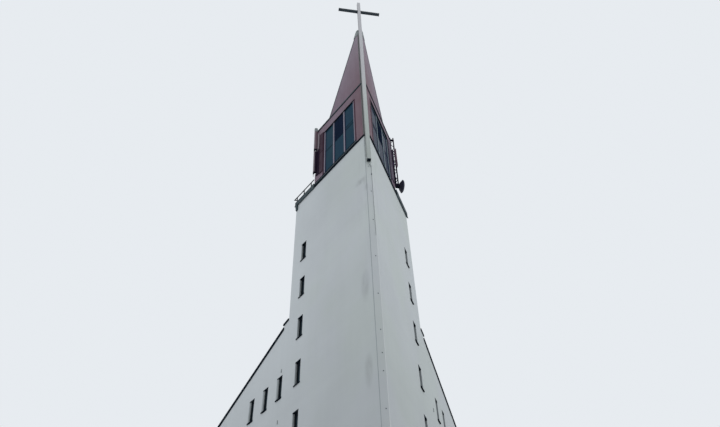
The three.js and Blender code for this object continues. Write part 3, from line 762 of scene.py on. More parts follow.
def makeBelfryWindow(name, side):
    w = louvre
    at = sideWall(side)
    covers, cores, rails, panes, vent, jambTrim, farJamb, headTrim = newMeshes(8)
    pane = w["paneFront"]
    half = w["post"] / 2
    front, back = w["setback"], w["setback"] + w["depth"]
    low, high = w["bottom"] + 0.001, w["top"] - 0.001
    headTop = high + w["headTrim"][name]
    headRail = covers if side > 0 else rails
    centres = [w["from"] + half + 0.001, *w["mullions"], w["to"] - half - 0.001]
    for centre in centres:
        addBlock(covers, at, around(centre, half - w["coverInset"]), (front, front + w["cover"]), (low, high))
        # the cores show as dark edges beside each cover: painted shade of the posts' sides
        addBlock(cores, at, around(centre, half - 0.003), (front + w["cover"], back), (low, high))
    bays = [(a + half, b - half) for a, b in zip(centres, centres[1:])]
    rail, bar = w["headRail"], w["transomBar"] / 2
    for bay, opening in enumerate(bays):
        near, far = opening
        # rails, transom bars and sashes are black: partly painted shade, the transom and head reading as
        # shadow lines
        addBlock(rails, at, opening, (front + 0.006, back), (low, low + rail))
        addBlock(headRail, at, opening, (front + 0.006, back), (high - rail, high))
        shade = (pane - 0.01, back - 0.001)
        addBlock(cores, at, (near - 0.001, near + w["shade"]["near"]), shade, (low + 0.001, high - 0.001))
        addBlock(cores, at, (far - w["shade"]["far"], far + 0.001), shade, (low + 0.001, high - 0.001))
        bars = [w["transom"], w["transom"] + w["secondBar"]] if bay == 0 else [w["transom"]]
        for middle in bars:
            addBlock(rails, at, opening, (pane - 0.012, back), around(middle, bar))
        for height in ((low + rail, w["transom"] - bar), (w["transom"] + bar, high - rail)):
            if bay == 1 and height[0] > w["transom"]:
                addVent(vent, at, opening, height)
            else:
                addHoop(rails, at, opening, (pane - 0.006, back), height, w["sash"])
                across, upward = drawnIn(opening, w["bite"]), drawnIn(height, w["bite"])
                addBlock(panes, at, across, (pane, pane + 0.016), upward)
    nearEnd, farEnd, lip = w["from"] + 0.002, w["to"] - 0.002, front + 0.01
    # the maroon trims are partly painted shade of a shadow gap
    addBlock(jambTrim, at, (w["from"] - w["nearTrim"][name], nearEnd), (-0.014, lip), (low, headTop))
    addBlock(farJamb, at, (farEnd, w["to"] + w["farTrim"]), (-0.014, lip), (low, headTop))
    # painted shadow line above the opening
    addBlock(headTrim, at, (nearEnd, farEnd), (-0.016, lip), (high - 0.002, headTop))
    title = f"belfry_{name}_window_"
    makePiece(title + "posts", covers, w["postFinish"][name], (f"belfry_{name}_frame",), 0.004)
    makePiece(title + "post_cores", cores, "post_shade")
    makePiece(title + "rails", rails, "black_trim_and_shade")
    makePiece(title + "panes", panes, w["paneFinish"][name], (f"belfry_{name}_panes",))
    makePiece(title + "vent", vent, "vent_blades")
    makePiece(title + "jamb_trim", jambTrim, "maroon_trim_and_shade", (), 0.004)
    makePiece(title + "far_jamb", farJamb, w["farFinish"][name], (), 0.004)
    makePiece(title + "head_trim", headTrim, "black_trim_and_shade", (), 0.004)


# The upper middle bay holds sloping blades in place of glass, with a board behind them.
def addVent(mesh, at, along, height):
    pitch = (height[1] - height[0]) / louvre["blades"]
    front = louvre["setback"] + 0.014
    back = front + louvre["ventDepth"]
    for step in range(louvre["blades"]):
        foot = height[0] + pitch * step
        head = foot + pitch
        blade = [(front, foot), (front + 0.006, foot), (back + 0.002, head), (back - 0.004, head)]
        addSweep(mesh, at, along, blade)
    addBlock(mesh, at, along, (back, back + 0.01), height)


print("making belfry windows")
for sideName, side in sides.items():
    makeBelfryWindow(sideName, side)

# Flashings at the wall tops and round the foot of the belfry

trims = {
    "dripLow": 0.08,              # below the tower's top
    "dripProud": 0.06,
    "copingFrom": 5.2,
    "copingOut": 0.06,
    "copingTop": 31.70,
    "copingBottom": 31.45,
    "copingIn": 0.45,
    "copingRoll": {"left": 0.12, "right": 0.22},
    # painted shadow: the black line on the walls stands for the shadow under the belfry's roof, and the black
    # lip is partly its shadow too
    "eaveLine": 0.075,            # dark line on the walls under the belfry's roof
    "eaveLip": 0.05,              # dark lip round the roof's top edge
    "copingDrip": 0.07,
    "copingJoints": (5.24, 5.72, 6.22, 6.68),
    "bandThick": 0.006,           # of the bands over the joints of copings and verge cappings
    "rearFold": 0.13,
    "roofOut": 0.03,
    "spireEdge": 0.07,
    "spireCapFoot": 43.9,
    "seamPitch": 0.55,            # standing seams on the spire's and the belfry's back
    "cornerFlange": 0.05,         # of the corner covers, over the side walls
    "cornerProud": 0.01,
    "foldGap": 0.04,              # clear of the aerials' wall bars, above and below
}
# lapped sheets at the belfry's foot: finish, low and high above the tower's top, how proud
footSheets = {
    "lower": ("grey_flashing", 0.012, 0.055, 0.030),
    # the gap and sill sheets are black: painted shadow lines under the proud grey sheets and the window's
    # sill
    "gap": ("black_trim_and_shade", 0.055, 0.170, 0.010),
    "upper": ("grey_flashing", 0.170, 0.220, 0.024),
    "sill": ("black_trim_and_shade", 0.220, 0.362, 0.010),
}
cornerSheet = ("rose_trim", 0.006, 0.085, 0.020)


def makeTowerDrip():
    mesh = bmesh.new()
    top, proud = church["towerTop"], -trims["dripProud"]
    low = top - trims["dripLow"]
    # the drip is black all over: a painted shadow line under the coping, on a real drip
    profile = [(0.002, top + 0.012), (proud, top + 0.004), (proud, low), (0.002, low)]
    for side in sides.values():
        addSweep(mesh, sideWall(side), (chamfer - 0.02, trims["copingFrom"]), profile)
    addSweep(mesh, facingFront(chamferY), (-halfChamfer, halfChamfer), profile)
    makePiece("tower_top_drip", mesh, "black_trim_and_shade")


def makeFootSheets():
    starts = {side: louvre["from"] - louvre["nearTrim"][name] for name, side in sides.items()}
    for label, (finish, low, high, proud) in footSheets.items():
        mesh = bmesh.new()
        low, high = church["towerTop"] + low, church["towerTop"] + high
        lap = [(0.002, low), (-proud, low), (-proud, high - 0.012), (0.002, high)]
        for side in sides.values():
            end = church["belfrySide"] + (trims["rearFold"] - 0.01 if side < 0 else -0.01)
            addSweep(mesh, sideWall(side), (starts[side], end), lap)
        makePiece(f"belfry_foot_{label}", mesh, finish)
    mesh = bmesh.new()
    finish, low, high, proud = cornerSheet
    low, high = church["towerTop"] + low, church["towerTop"] + high
    lap = [(0.002, low), (-proud, low), (-proud, high), (0.002, high + 0.01)]
    for side in sides.values():
        addSweep(mesh, sideWall(side), (chamfer, starts[side]), lap)
    makePiece("belfry_foot_corner", mesh, finish)


# Where a face that stands out from a side wall meets a plane at the back.
def outerEnd(rear, out):
    return (rear + out * sine) / cosine


# A joint band's profile: over a capping from its inner edge, and down its face.
def wrapOver(inner, face, low, top, hang=0.004):
    outer, over = face - trims["bandThick"], top + trims["bandThick"]
    return [(inner, top), (face, top), (face, low), (outer, low - hang), (outer, over), (inner, over)]


def makeCopingDetails():
    bands, edges, rolls = newMeshes(3)
    out, top, low, inner = trims["copingOut"], trims["copingTop"], trims["copingBottom"], trims["copingIn"]
    rear = church["towerBack"] + out
    farEnd = outerEnd(rear, out)
    lip = out + 0.025
    foot = low - trims["copingDrip"]
    drip = [(-out, low + 0.06), (-lip, low + 0.03), (-lip, foot), (-out + 0.004, foot)]
    for name, side in sides.items():
        high = top + trims["copingRoll"][name]
        roll = [(-out + 0.06, top - 0.002), (-out, top - 0.01), (-out, high - 0.02),
                (-out + 0.02, high), (-out + 0.04, high - 0.01)]
        at = sideWall(side)
        for along in trims["copingJoints"]:
            addSweep(bands, at, (along, along + 0.05), wrapOver(inner, -out, low, top))
        addSweep(edges, at, (trims["copingFrom"], farEnd), drip)
        addSweep(rolls, at, (trims["copingFrom"], farEnd), roll)
        # the coping carries on to the belfry, over the tower's top
        start = church["belfrySide"] + (trims["rearFold"] + 0.004 if side < 0 else 0.004)
        lead = [(-out - 0.004, foot), (-out - 0.004, high), (0.0, high),
                (0.06, church["towerTop"] + 0.002), (0.002, foot)]
        addSweep(rolls, at, (start, trims["copingFrom"]), lead)
    at = facingBack(rear)
    halfBack = rear * tangent - 0.1
    back = [(d + out, z) for d, z in drip]
    addSweep(edges, at, (-halfBack, halfBack), back)
    addSweep(rolls, at, (-halfBack, halfBack), [(d + out, z) for d, z in roll])
    for k in range(-2, 3):
        addSweep(bands, at, around(k, 0.025), wrapOver(0.5, 0.0, low, top))
    makePiece("coping_joint_bands", bands, "dark_sheet")
    makePiece("coping_drips", edges, "dark_sheet")
    makePiece("coping_rolls", rolls, "dark_sheet")


# The outline of a strip up a sloping edge, from the edge's places at its foot and top.
def slopingStrip(edge, width, foot, top):
    return [(edge[0], foot), (edge[0] - width, foot), (edge[1] - width, top), (edge[1], top)]


# Thin strips along the belfry roof's edge and up the spire's edges.
def makeRoofEdges():
    mesh, eaves = newMeshes(2)
    out, roof = trims["roofOut"], church["belfryRoof"]
    rear = church["belfryBack"] + out
    farEnd = outerEnd(rear, out)
    apex, pitch = slopes["spireApex"], slopes["spirePitch"] * cosine
    foot, top = roof + 0.002, trims["spireCapFoot"]
    slide = trims["spireEdge"] * math.hypot(1, pitch) / pitch
    frontStrip = slopingStrip([(apex - z) / pitch for z in (foot, top)], slide, foot, top)
    lip = (roof - trims["eaveLip"], roof + 0.006)
    # the black line under the roof is painted shadow
    line = (church["belfryTop"] - trims["eaveLine"], church["belfryTop"] - 0.002)
    for side in sides.values():
        at = sideWall(side)
        addBlock(eaves, at, (chamfer - 0.02, church["belfrySide"] - 0.01), (-0.012, 0.002), line)
        if side > 0:
            addBlock(eaves, at, (chamfer - 0.02, farEnd), (-out - 0.006, -out + 0.002), lip)
        addPlate(mesh, at, (-0.012, 0.004), frontStrip)
        edge = [side * (apex - z) / slopes["spirePitch"] * tangent for z in (foot, top)]
        backStrip = slopingStrip(edge, side * trims["spireEdge"], foot, top)
        addPlate(mesh, spireBack, (-0.012, 0.004), backStrip)
    addBlock(eaves, facingBack(rear), (-farEnd / 2 + 0.03, farEnd / 2 - 0.03), (-0.006, 0.002), lip)
    makePiece("spire_edge_strips", mesh, "dark_sheet")
    makePiece("roof_edge_strips", eaves, "black_trim_and_shade")


# A folded cover closes the front corner of the belfry and of the spire.
def makeCornerCovers():
    mesh = bmesh.new()
    face = facingFront(chamferY)
    half = halfChamfer + 0.012
    flange, thick = (chamfer - 0.004, chamfer + trims["cornerFlange"]), (-trims["cornerProud"], 0.001)
    for height in ((church["towerTop"] + 0.09, church["belfryTop"] - 0.004),
                   (church["belfryRoof"] + 0.008, trims["spireCapFoot"] - 0.004)):
        addBlock(mesh, face, (-half, half), thick, height)
        for side in sides.values():
            addBlock(mesh, sideWall(side), flange, thick, height)
    makePiece("corner_covers", mesh, "corner_cover")


# The left wall's cladding runs past the back wall, cut out round the aerials' wall bars.
def makeRearFold():
    mesh = bmesh.new()
    along = (church["belfrySide"] - 0.004, church["belfrySide"] + trims["rearFold"])
    levels = [z for z in wallBars["levels"]["left"] if z < church["belfryTop"]]
    feet = [church["towerTop"] + 0.006] + [z + trims["foldGap"] for z in levels]
    heads = [z - trims["foldGap"] for z in levels] + [church["belfryTop"] - 0.004]
    for height in zip(feet, heads):
        addBlock(mesh, sideWall(-1), along, (0.0, 0.02), height)
    makePiece("belfry_rear_fold", mesh, "red_sheet")


# Standing seams up the spire's back and the belfry's back wall.
def makeBackSeams():
    mesh = bmesh.new()
    pitch, half, inset = trims["seamPitch"], 0.006, (-0.028, 0.003)
    foot = church["belfryRoof"] + 0.003
    halfFoot = (slopes["spireApex"] - foot) / slopes["spirePitch"] * tangent
    count = int(halfFoot / pitch)
    for k in range(-count, count + 1):
        x = k * pitch
        reach = slopes["spireApex"] - (abs(x) + 0.1) / tangent * slopes["spirePitch"]
        top = min(reach, trims["spireCapFoot"])
        if top > foot + 0.4:
            addBlock(mesh, spireBack, around(x, half), inset, (foot, top))
    at = facingBack(church["belfryBack"])
    count = int((church["belfryBack"] * tangent - 0.1) / pitch)
    heights = (church["towerTop"] + 0.02, church["belfryTop"] - 0.01)
    for k in range(-count, count + 1):
        addBlock(mesh, at, around(k * pitch, half), inset, heights)
    makePiece("back_standing_seams", mesh, "red_sheet")


# The white corner below the mast

prow = {
    "joint": 0.028,               # sealed joint down the left edge of the corner strip
    "bead": 0.03,
    "anchors": (26.61, 24.48, 22.06, 19.84, 17.93, 16.81, 15.98, 14.39, 12.5, 10.4, 8.2, 6.0, 3.8, 1.6),
    "anchorAcross": 0.045,
    "anchorRadius": 0.02,
    "lineAcross": 0.125,
    "lineRadius": 0.007,
    "lineHeights": (28.7, 23.4),
    "lineClip": 28.0,
    "tieHeights": (28.86, 28.62),
    # bolted plates on the side walls: side, along and height
    "wallPlates": ((-1, 7.08, 19.84), (-1, 7.10, 17.17), (1, 7.24, 18.33)),
}


def makeProw():
    joint, bead, anchors, ties, line = newMeshes(5)
    top = church["towerTop"] - 0.08
    face = facingFront(chamferY)
    addBlock(joint, sideWall(-1), (chamfer - 0.004, chamfer + prow["joint"]), (-0.003, 0.004), (0.0, top))
    # the bead's pale finish is a painted highlight
    addBlock(bead, sideWall(1), (chamfer - 0.004, chamfer + prow["bead"]), (-0.004, 0.004), (0.0, top))
    head = prow["anchorRadius"]
    for z in prow["anchors"]:
        stud = [(0, head), (0.012, head), (0.014, 0.012), (0.03, 0.010)]
        addTurned(anchors, face(prow["anchorAcross"], 0.0, z), Vector((0, -1, 0)), stud, 12)
    beside = prow["lineAcross"]
    addBlock(anchors, face, around(beside, 0.02), (-0.032, 0.001), around(prow["lineClip"], 0.04))
    high, low = prow["tieHeights"]
    for across in (-0.01, 0.11):
        addTube(ties, [face(0.06, -0.012, high), face(across, -0.012, low)], 0.009, 8)
    addTube(line, [face(beside, -0.017, z) for z in prow["lineHeights"]], prow["lineRadius"], 8)
    makePiece("corner_joint", joint, "joint_line")
    makePiece("corner_beads", bead, "bead_highlight")
    makePiece("corner_anchors", anchors, "dark_sheet")
    makePiece("corner_ties", ties, "cap_sheet")
    makePiece("conductor", line, "cap_sheet")


def makeWallFittings():
    mesh = bmesh.new()
    for side, along, height in prow["wallPlates"]:
        at = sideWall(side)
        outward = at(along, -1, height) - at(along, 0, height)
        addBlock(mesh, at, around(along, 0.02), (-0.02, 0.004), around(height, 0.09))
        for lift in (-0.06, 0.06):
            addBolt(mesh, at(along, -0.019, height + lift), outward, 0.012)
    makePiece("wall_fittings", mesh, "cap_sheet", (), 0.003)


print("making flashings and corner fittings")
makeTowerDrip()
makeFootSheets()
makeCopingDetails()
makeRoofEdges()
makeCornerCovers()
makeBackSeams()
makeProw()
makeWallFittings()

# Terrace railing: past the rear corner, round, and back to a post on the rear coping

railing = {
    "from": 4.96,
    "posts": (5.24, 5.96, 6.68),
    "inset": -0.02,
    "radius": 0.030,
    "top": 32.26,
    "foot": 31.70,
    "past": 0.2,
    "returnLength": 0.9,
    "endPost": 0.03,              # behind the tower's back wall
}


def makeRailing():
    r = railing
    mesh = bmesh.new()
    at = sideWall(-1)
    high, low = r["top"] - r["radius"], r["foot"] + 0.002
    backY, postY = church["towerBack"] + r["past"], church["towerBack"] + r["endPost"]
    cornerX = -(backY - r["inset"] / sine) * tangent
    endX = cornerX + r["returnLength"] - r["radius"]
    feet = [at(along, r["inset"], low) for along in r["posts"]]
    run = [at(r["from"], r["inset"], high), fromReal(cornerX, backY, high), fromReal(endX, backY, high),
           fromReal(endX, postY, high), fromReal(endX, postY, low)]
    addTube(mesh, run, r["radius"])
    for foot, along in zip(feet, r["posts"]):
        addTube(mesh, [foot, at(along, r["inset"], high)], r["radius"])
    collar = [(0, 0.044), (0.012, 0.044), (0.014, 0.036), (0.03, 0.035)]
    for foot in feet + [run[-1]]:
        addTurned(mesh, foot, Vector((0, 0, 1)), collar, 16)
    makePiece("terrace_rail_tubes", mesh, "rail_steel", ("terrace_railing",))


print("making the railing")
makeRailing()

# Mast and cross

mast = {
    "half": 0.105,
    "centreY": 0.1,
    "bottom": 29.0,
    "top": 48.8,
    "armZ": 47.35,
    "armHalf": 0.085,
    "armReach": 1.5,
    "seams": (32.6, 38.4, 43.1),
    "brackets": (29.5, 35.5, 41.5),
}


# A sleeve round the mast that stays behind its front face.
def addSleeve(mesh, low, high, grow):
    reach, middle = mast["half"] + grow, mast["centreY"]
    front, back = middle - mast["half"] + 0.003, middle + reach
    ring = [(-reach, front), (reach, front), (reach, back), (-reach, back)]
    addLoft(mesh, [[fromReal(x, y, z) for x, y in ring] for z in (low, high)])


def makeMastDetails():
    foot, pale, dark = newMeshes(3)
    # a black plate at the mast's open foot: painted shade of its hollow end
    addSleeve(foot, mast["bottom"] - 0.01, mast["bottom"] + 0.002, -0.003)
    for z in mast["seams"]:
        addSleeve(pale, z, z + 0.03, 0.004)
    z, reach = mast["armZ"], mast["armHalf"] + 0.008
    front, back = around(mast["centreY"], reach)
    thick = (0.0, 0.03)
    for side in sides.values():
        addBlock(dark, facingSide(side, mast["armReach"]), (front, back), thick, around(z, reach))
        collar = facingSide(side, mast["half"] + thick[1])
        addBlock(dark, collar, (front - 0.004, back + 0.004), thick, around(z, reach + 0.006))
        for level in mast["brackets"]:
            for lift in (0.05, 0.17):
                addBolt(dark, fromReal(side * 0.08, 0.232, level + lift), Vector((side, 0, 0)), 0.02)
    makePiece("mast_foot_shade_plate", foot, "black_trim_and_shade", (), 0.002)
    makePiece("mast_sleeves", pale, "pale_steel")
    makePiece("arm_end_plates", dark, "arm_sheet", (), 0.002)


print("making mast details")
makeMastDetails()

# Nave roof, cappings and gutter

roofing = {
    "seamPitch": 0.6,
    "seamHeight": 0.03,
    "seamHalf": 0.007,
    "bandPitch": 2.0,
    "capOver": 0.04,
    "capDrop": 0.11,
    "capTop": 0.06,
    "kerbBack": 0.34,
    "strapPitch": 1.2,
    "gutterDeep": 0.18,
    "gutterHigh": 0.16,
    "gutterDrop": 0.04,
}


def makeRoofSeams():
    mesh = bmesh.new()
    inner = church["wall"] + 0.06
    first = church["towerBack"] + roofing["kerbBack"] + 0.02
    last = church["naveBack"] - 0.02
    count = int((last * tangent - inner / cosine) / roofing["seamPitch"])
    lifts = (-0.004, roofing["seamHeight"])
    for k in range(-count, count + 1):
        x = k * roofing["seamPitch"]
        start = max(first, abs(x) / tangent + inner / sine)
        if last - start > 0.3:
            near, far = around(x, roofing["seamHalf"])
            plan = [(near, start), (far, start), (far, last), (near, last)]
            addLoft(mesh, [[naveRoof(a, lift, d) for a, d in plan] for lift in lifts])
    makePiece("nave_roof_seams", mesh, "roof_sheet")


def makeCappingBands():
    mesh = bmesh.new()
    over = roofing["capOver"]
    inner = church["wall"] + over
    first = (church["towerBack"] + roofing["kerbBack"]) / cosine + 0.6
    last = church["naveBack"] / cosine - 0.4
    count = int((last - first) / roofing["bandPitch"])
    for side in sides.values():
        at = sideWall(side)
        for k in range(count + 1):
            along = first + k * (last - first) / count
            rings = []
            for a in (along, along + 0.05):
                top, low = vergeHeight(a) + roofing["capTop"], vergeHeight(a) - roofing["capDrop"]
                rings.append([at(a, d, z) for d, z in wrapOver(inner, -over, low, top, 0.006)])
            addLoft(mesh, rings)
    makePiece("verge_joint_bands", mesh, "dark_sheet")


def makeGutterStraps():
    mesh = bmesh.new()
    rear = church["naveBack"]
    top = slopes["verge"] - slopes["parapet"] - slopes["vergeFall"] * rear - roofing["gutterDrop"]
    low = top - roofing["gutterHigh"]
    deep = roofing["gutterDeep"]
    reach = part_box("eave_gutter")[1].x / modelScale
    at = facingBack(rear + deep)
    addTube(mesh, [at(-reach, 0.012, top), at(reach, 0.012, top)], 0.012, 8)
    count = int(2 * reach / roofing["strapPitch"])
    for k in range(count + 1):
        x = -reach + 0.1 + k * (2 * reach - 0.2) / count
        addBlock(mesh, at, around(x, 0.015), (0.0, deep - 0.001), (low - 0.006, low))
        addBlock(mesh, at, around(x, 0.015), (0.012, deep - 0.02), (top - 0.006, top))
    makePiece("gutter_straps", mesh, "dark_sheet")


print("making roof seams and gutter straps")
makeRoofSeams()
makeCappingBands()
makeGutterStraps()

# Entrance doors

entrance = {
    "setback": 0.12,
    "frame": 0.12,
    "half": 1.5,
    "top": 3.6,
    "floor": 0.3,
    "leaf": 0.06,
    "board": 0.125,
    "handle": (1.0, 2.0),         # foot and head
    "handleOut": 0.08,
    "hinges": (0.75, 1.95, 3.15),
}


def makeDoors():
    e = entrance
    at = facingBack(church["naveBack"] - e["setback"] - e["frame"] / 2 + e["leaf"] / 2)
    near, far = 0.004, e["half"] - e["frame"] - 0.002
    low, high = e["floor"] + 0.002, e["top"] - e["frame"] - 0.002
    count = round((far - near) / e["board"])
    width = (far - near) / count
    for name, side in sides.items():
        leaf, metal = newMeshes(2)
        for k in range(count):
            a = near + k * width
            edges = sorted((side * (a + 0.002), side * (a + width - 0.002)))
            addBlock(leaf, at, edges, (0.0, 0.022), (low, high))
        addBlock(leaf, at, sorted((side * near, side * far)), (0.022, e["leaf"]), (low, high))
        plate = sorted((side * (near + 0.01), side * (far - 0.01)))
        addBlock(metal, at, plate, (-0.004, 0.001), (low + 0.02, low + 0.3))
        grip, hinge = side * (near + 0.16), side * (far - 0.012)
        bends = [(0.0, e["handle"][0]), (-e["handleOut"], e["handle"][0]),
                 (-e["handleOut"], e["handle"][1]), (0.0, e["handle"][1])]
        addTube(metal, [at(grip, d, z) for d, z in bends], 0.018)
        for middle in e["hinges"]:
            addTube(metal, [at(hinge, -0.008, z) for z in around(middle, 0.07)], 0.014)
        makePiece(f"entrance_{name}_leaf", leaf, "door_wood", (f"entrance_{name}_door",), 0.003)
        makePiece(f"entrance_{name}_ironwork", metal, "pale_steel")


print("making doors")
makeDoors()

# Aerials

poleY = church["belfryBack"] + 0.075
barTop = church["belfryRoof"] + 0.0256
wallBars = {
    "size": 0.05,
    "thick": 0.008,
    "reach": 0.56,
    "bolts": (0.12, 0.4),         # from the inner end
    "outer": {"left": 2.597, "right": 2.64},
    "levels": {"left": (32.75, 34.6, 35.15, barTop), "right": (33.0, 34.88, barTop)},
}


# A long cover with a rounded front and a slightly smaller cap at each end.
def addCover(mesh, at, along, front, back, height):
    middle, half = (along[0] + along[1]) / 2, (along[1] - along[0]) / 2
    steps, flank, capSize, capThick = 10, 0.45, 0.94, 0.014
    section = [(middle + half, back), (middle - half, back)]
    for k in range(steps + 1):
        turn = math.pi * k / steps
        deep = flank + (1 - flank) * math.sin(turn) ** 0.5
        section.append((middle - half * math.cos(turn), back + (front - back) * deep))
    cap = [(middle + (a - middle) * capSize, back + (d - back) * capSize) for a, d in section]
    low, high = height
    for outline, ends in ((section, (low + 0.012, high - 0.012)), (cap, (low, low + capThick)),
                          (cap, (high - capThick, high))):
        addLoft(mesh, [[at(a, d, z) for a, d in outline] for z in ends])


# Angle bars on the belfry's back wall, with two bolts each.
def addWallBars(mesh, name):
    side, outer = sides[name], wallBars["outer"][name]
    half, thick = wallBars["size"] / 2, wallBars["thick"]
    inner = outer - wallBars["reach"]
    at = facingFront(church["belfryBack"] + 0.001)
    for z in wallBars["levels"][name]:
        across = sorted((side * outer, side * inner))
        addBlock(mesh, at, across, (0.0, thick), around(z, half))
        addBlock(mesh, at, across, (thick, 0.059), (z + half - thick, z + half))
        for k in wallBars["bolts"]:
            addBolt(mesh, at(side * (inner + k), thick, z - thick / 2), Vector((0, 1, 0)), 0.016)


socketProfile = [(0, 0.016), (0.03, 0.016), (0.032, 0.011), (0.06, 0.011)]
leftAerials = {
    "x": (-2.605, -2.397),
    "y": (3.98, 4.085),
    "upper": {"height": (35.0, 36.95), "finish": "maroon_cover", "edge": 0.105},
    "lower": {"height": (32.62, 34.75), "finish": "dark_cover", "edge": 0.10},
    "cap": (36.952, 37.33),
    "sockets": (0.04, 0.085, 0.13, 0.17),     # from the covers' outer edge
    "clampX": (-2.597, -2.5),
    "pole": {"x": -2.562, "radius": 0.035, "bottom": 32.70, "top": 37.5, "tail": 32.45},
    "pipe": {"along": 4.53, "out": 0.07, "radius": 0.05, "height": (34.9, 36.5), "straps": (35.3, 36.2)},
    "cableCover": {"along": (4.47, 4.75), "out": 0.05, "height": (32.35, 34.85)},
}


def makeLeftAerials():
    a = leftAerials
    steel, dark, edges = newMeshes(3)
    front, back = a["y"]
    at = facingFront(back)
    pole = a["pole"]
    foot = fromReal(pole["x"], poleY, pole["bottom"])
    addTube(steel, [foot, fromReal(pole["x"], poleY, pole["top"])], pole["radius"], 16)
    addTube(steel, [fromReal(pole["x"], poleY, pole["tail"]), foot], 0.012, 8)
    addWallBars(steel, "left")
    for label in ("upper", "lower"):
        cover = bmesh.new()
        low, high = a[label]["height"]
        addCover(cover, at, a["x"], front - back, -0.001, (low, high))
        makePiece(f"left_aerial_{label}_cover", cover, a[label]["finish"], (f"left_aerial_{label}",), 0.004)
        band = (a["x"][0] - 0.003, a["x"][0] + a[label]["edge"])
        addCover(edges, at, band, front - back - 0.003, -0.003, (low + 0.02, high - 0.02))
        for k in a["sockets"]:
            addTurned(dark, at(a["x"][0] + k, -0.05, low), Vector((0, 0, -1)), socketProfile, 10)
    for z in wallBars["levels"]["left"]:
        for z0, z1 in ((z - 0.03, z - 0.01), (z + 0.01, z + 0.03)):
            addBlock(dark, at, a["clampX"], (-0.002, 0.14), (z0, z1))
        addBlock(dark, at, (a["clampX"][0] + 0.01, a["clampX"][1] - 0.01), (-0.002, 0.12), around(z, 0.01))
    addBlock(dark, at, a["x"], (-0.09, 0.0), (a["upper"]["height"][0] - 0.09, a["upper"]["height"][0]))
    cap = bmesh.new()
    addCover(cap, at, a["x"], front - back, -0.001, a["cap"])
    makePiece("left_aerial_cap", cap, "cap_sheet", (), 0.004)
    makePiece("left_aerial_post", steel, "tube_steel", ("left_aerial_frame",))
    makePiece("left_aerial_clamps", dark, "black_trim_and_shade")
    makePiece("left_aerial_edges", edges, "grey_cover")
    makeLeftPipe()


def makeLeftPipe():
    pipe, cables = leftAerials["pipe"], leftAerials["cableCover"]
    wall = sideWall(-1)
    mesh = bmesh.new()
    addTube(mesh, [wall(pipe["along"], -pipe["out"], z) for z in pipe["height"]], pipe["radius"], 20)
    for z in pipe["straps"]:
        strap = (z, z + 0.03)
        addTube(mesh, [wall(pipe["along"], -pipe["out"], end) for end in strap], pipe["radius"] + 0.006, 20)
        addBlock(mesh, wall, around(pipe["along"], 0.02), (-pipe["out"], 0.001), strap)
    makePiece("left_wall_pipe", mesh, "grey_cover")
    mesh = bmesh.new()
    addBlock(mesh, wall, cables["along"], (-cables["out"], -0.001), cables["height"])
    makePiece("left_cable_cover", mesh, "dark_cover", (), 0.012)


facePanel = {
    "from": 4.11,
    "to": {"left": 4.46, "right": 4.60},
    "out": 0.06,
    "bottom": 32.25,
    "top": 36.3,
    "split": {"left": 34.3, "right": 33.88},
    # the right's slate covers are a painted reflection of the sky
    "upper": {"left": "aerial_cover", "right": "slate_cover_reflection"},
    "lower": {"left": "plum_cover_dim", "right": "slate_cover_reflection"},
}


# The panels flat on the side walls, each of an upper and a lower cover.
def makeFacePanels():
    p = facePanel
    for name, side in sides.items():
        upper, lower = newMeshes(2)
        along, split = (p["from"], p["to"][name]), p["split"][name]
        addCover(upper, sideWall(side), along, -p["out"], -0.001, (split, p["top"]))
        addCover(lower, sideWall(side), along, -p["out"], -0.001, (p["bottom"], split - 0.02))
        makePiece(f"{name}_aerial_face_cover", upper, p["upper"][name], (f"{name}_aerial_face",), 0.004)
        makePiece(f"{name}_aerial_face_base", lower, p["lower"][name], (), 0.004)


ladder = {
    "inner": (2.43, 4.2475),      # x and y of each upright
    "outer": (2.64, 4.2319),
    "half": 0.03,
    "radius": {"outer": 0.042, "inner": 0.045},
    "tray": {"x": (2.47, 2.53), "deep": 0.03, "height": (32.66, 34.36)},
    "bottom": 32.35,
    "top": 37.5,
    "bays": 11,
    "lattice": 0.02,
    "innerPanel": {"x": (2.47, 2.572), "deep": 0.1, "height": (34.38, 36.2)},
    "outerPanel": {"face": 2.68, "out": 0.06, "half": 0.13, "height": (34.4, 36.18)},
    "bracket": 0.2,               # brackets from each end of a panel
    "mount": {"x": (2.48, 2.67), "y": (4.2319, 4.4), "z": (32.37, 32.65)},
}


def makeLadder():
    d = ladder
    outer, inner = newMeshes(2)
    (innerX, innerY), (outerX, outerY) = d["inner"], d["outer"]
    heights = (d["bottom"], d["top"])
    addTube(outer, [fromReal(outerX, outerY, z) for z in heights], d["radius"]["outer"], 16)
    addTube(inner, [fromReal(innerX, innerY, z) for z in heights], d["radius"]["inner"], 16)
    rise = (d["top"] - d["bottom"] - 0.5) / d["bays"]
    for k in range(d["bays"]):
        foot = d["bottom"] + 0.25 + rise * k
        ends = [(innerX, innerY), (outerX, outerY)]
        if k % 2:
            ends.reverse()
        addTube(inner, [fromReal(*ends[0], foot), fromReal(*ends[1], foot + rise)], d["lattice"], 8)
    tray = d["tray"]
    addBlock(inner, facingFront(innerY), tray["x"], (-tray["deep"], tray["deep"]), tray["height"])
    addWallBars(outer, "right")
    for z in (d["bottom"] + 0.1, barTop):
        across = (innerX - 0.04, outerX + 0.04)
        addBlock(outer, facingFront(poleY), across, (-0.04, 0.045), around(z, 0.045))
    mount, neck = d["mount"], bmesh.new()
    addBlock(neck, fromReal, mount["x"], mount["y"], mount["z"])
    makePiece("dish_neck", neck, "black_trim_and_shade", (), 0.004)
    makePiece("right_ladder_outer", outer, "tube_steel", ("right_aerial_frame",), 0.002)
    makePiece("right_ladder_inner", inner, "tube_steel", ("right_aerial_post",))


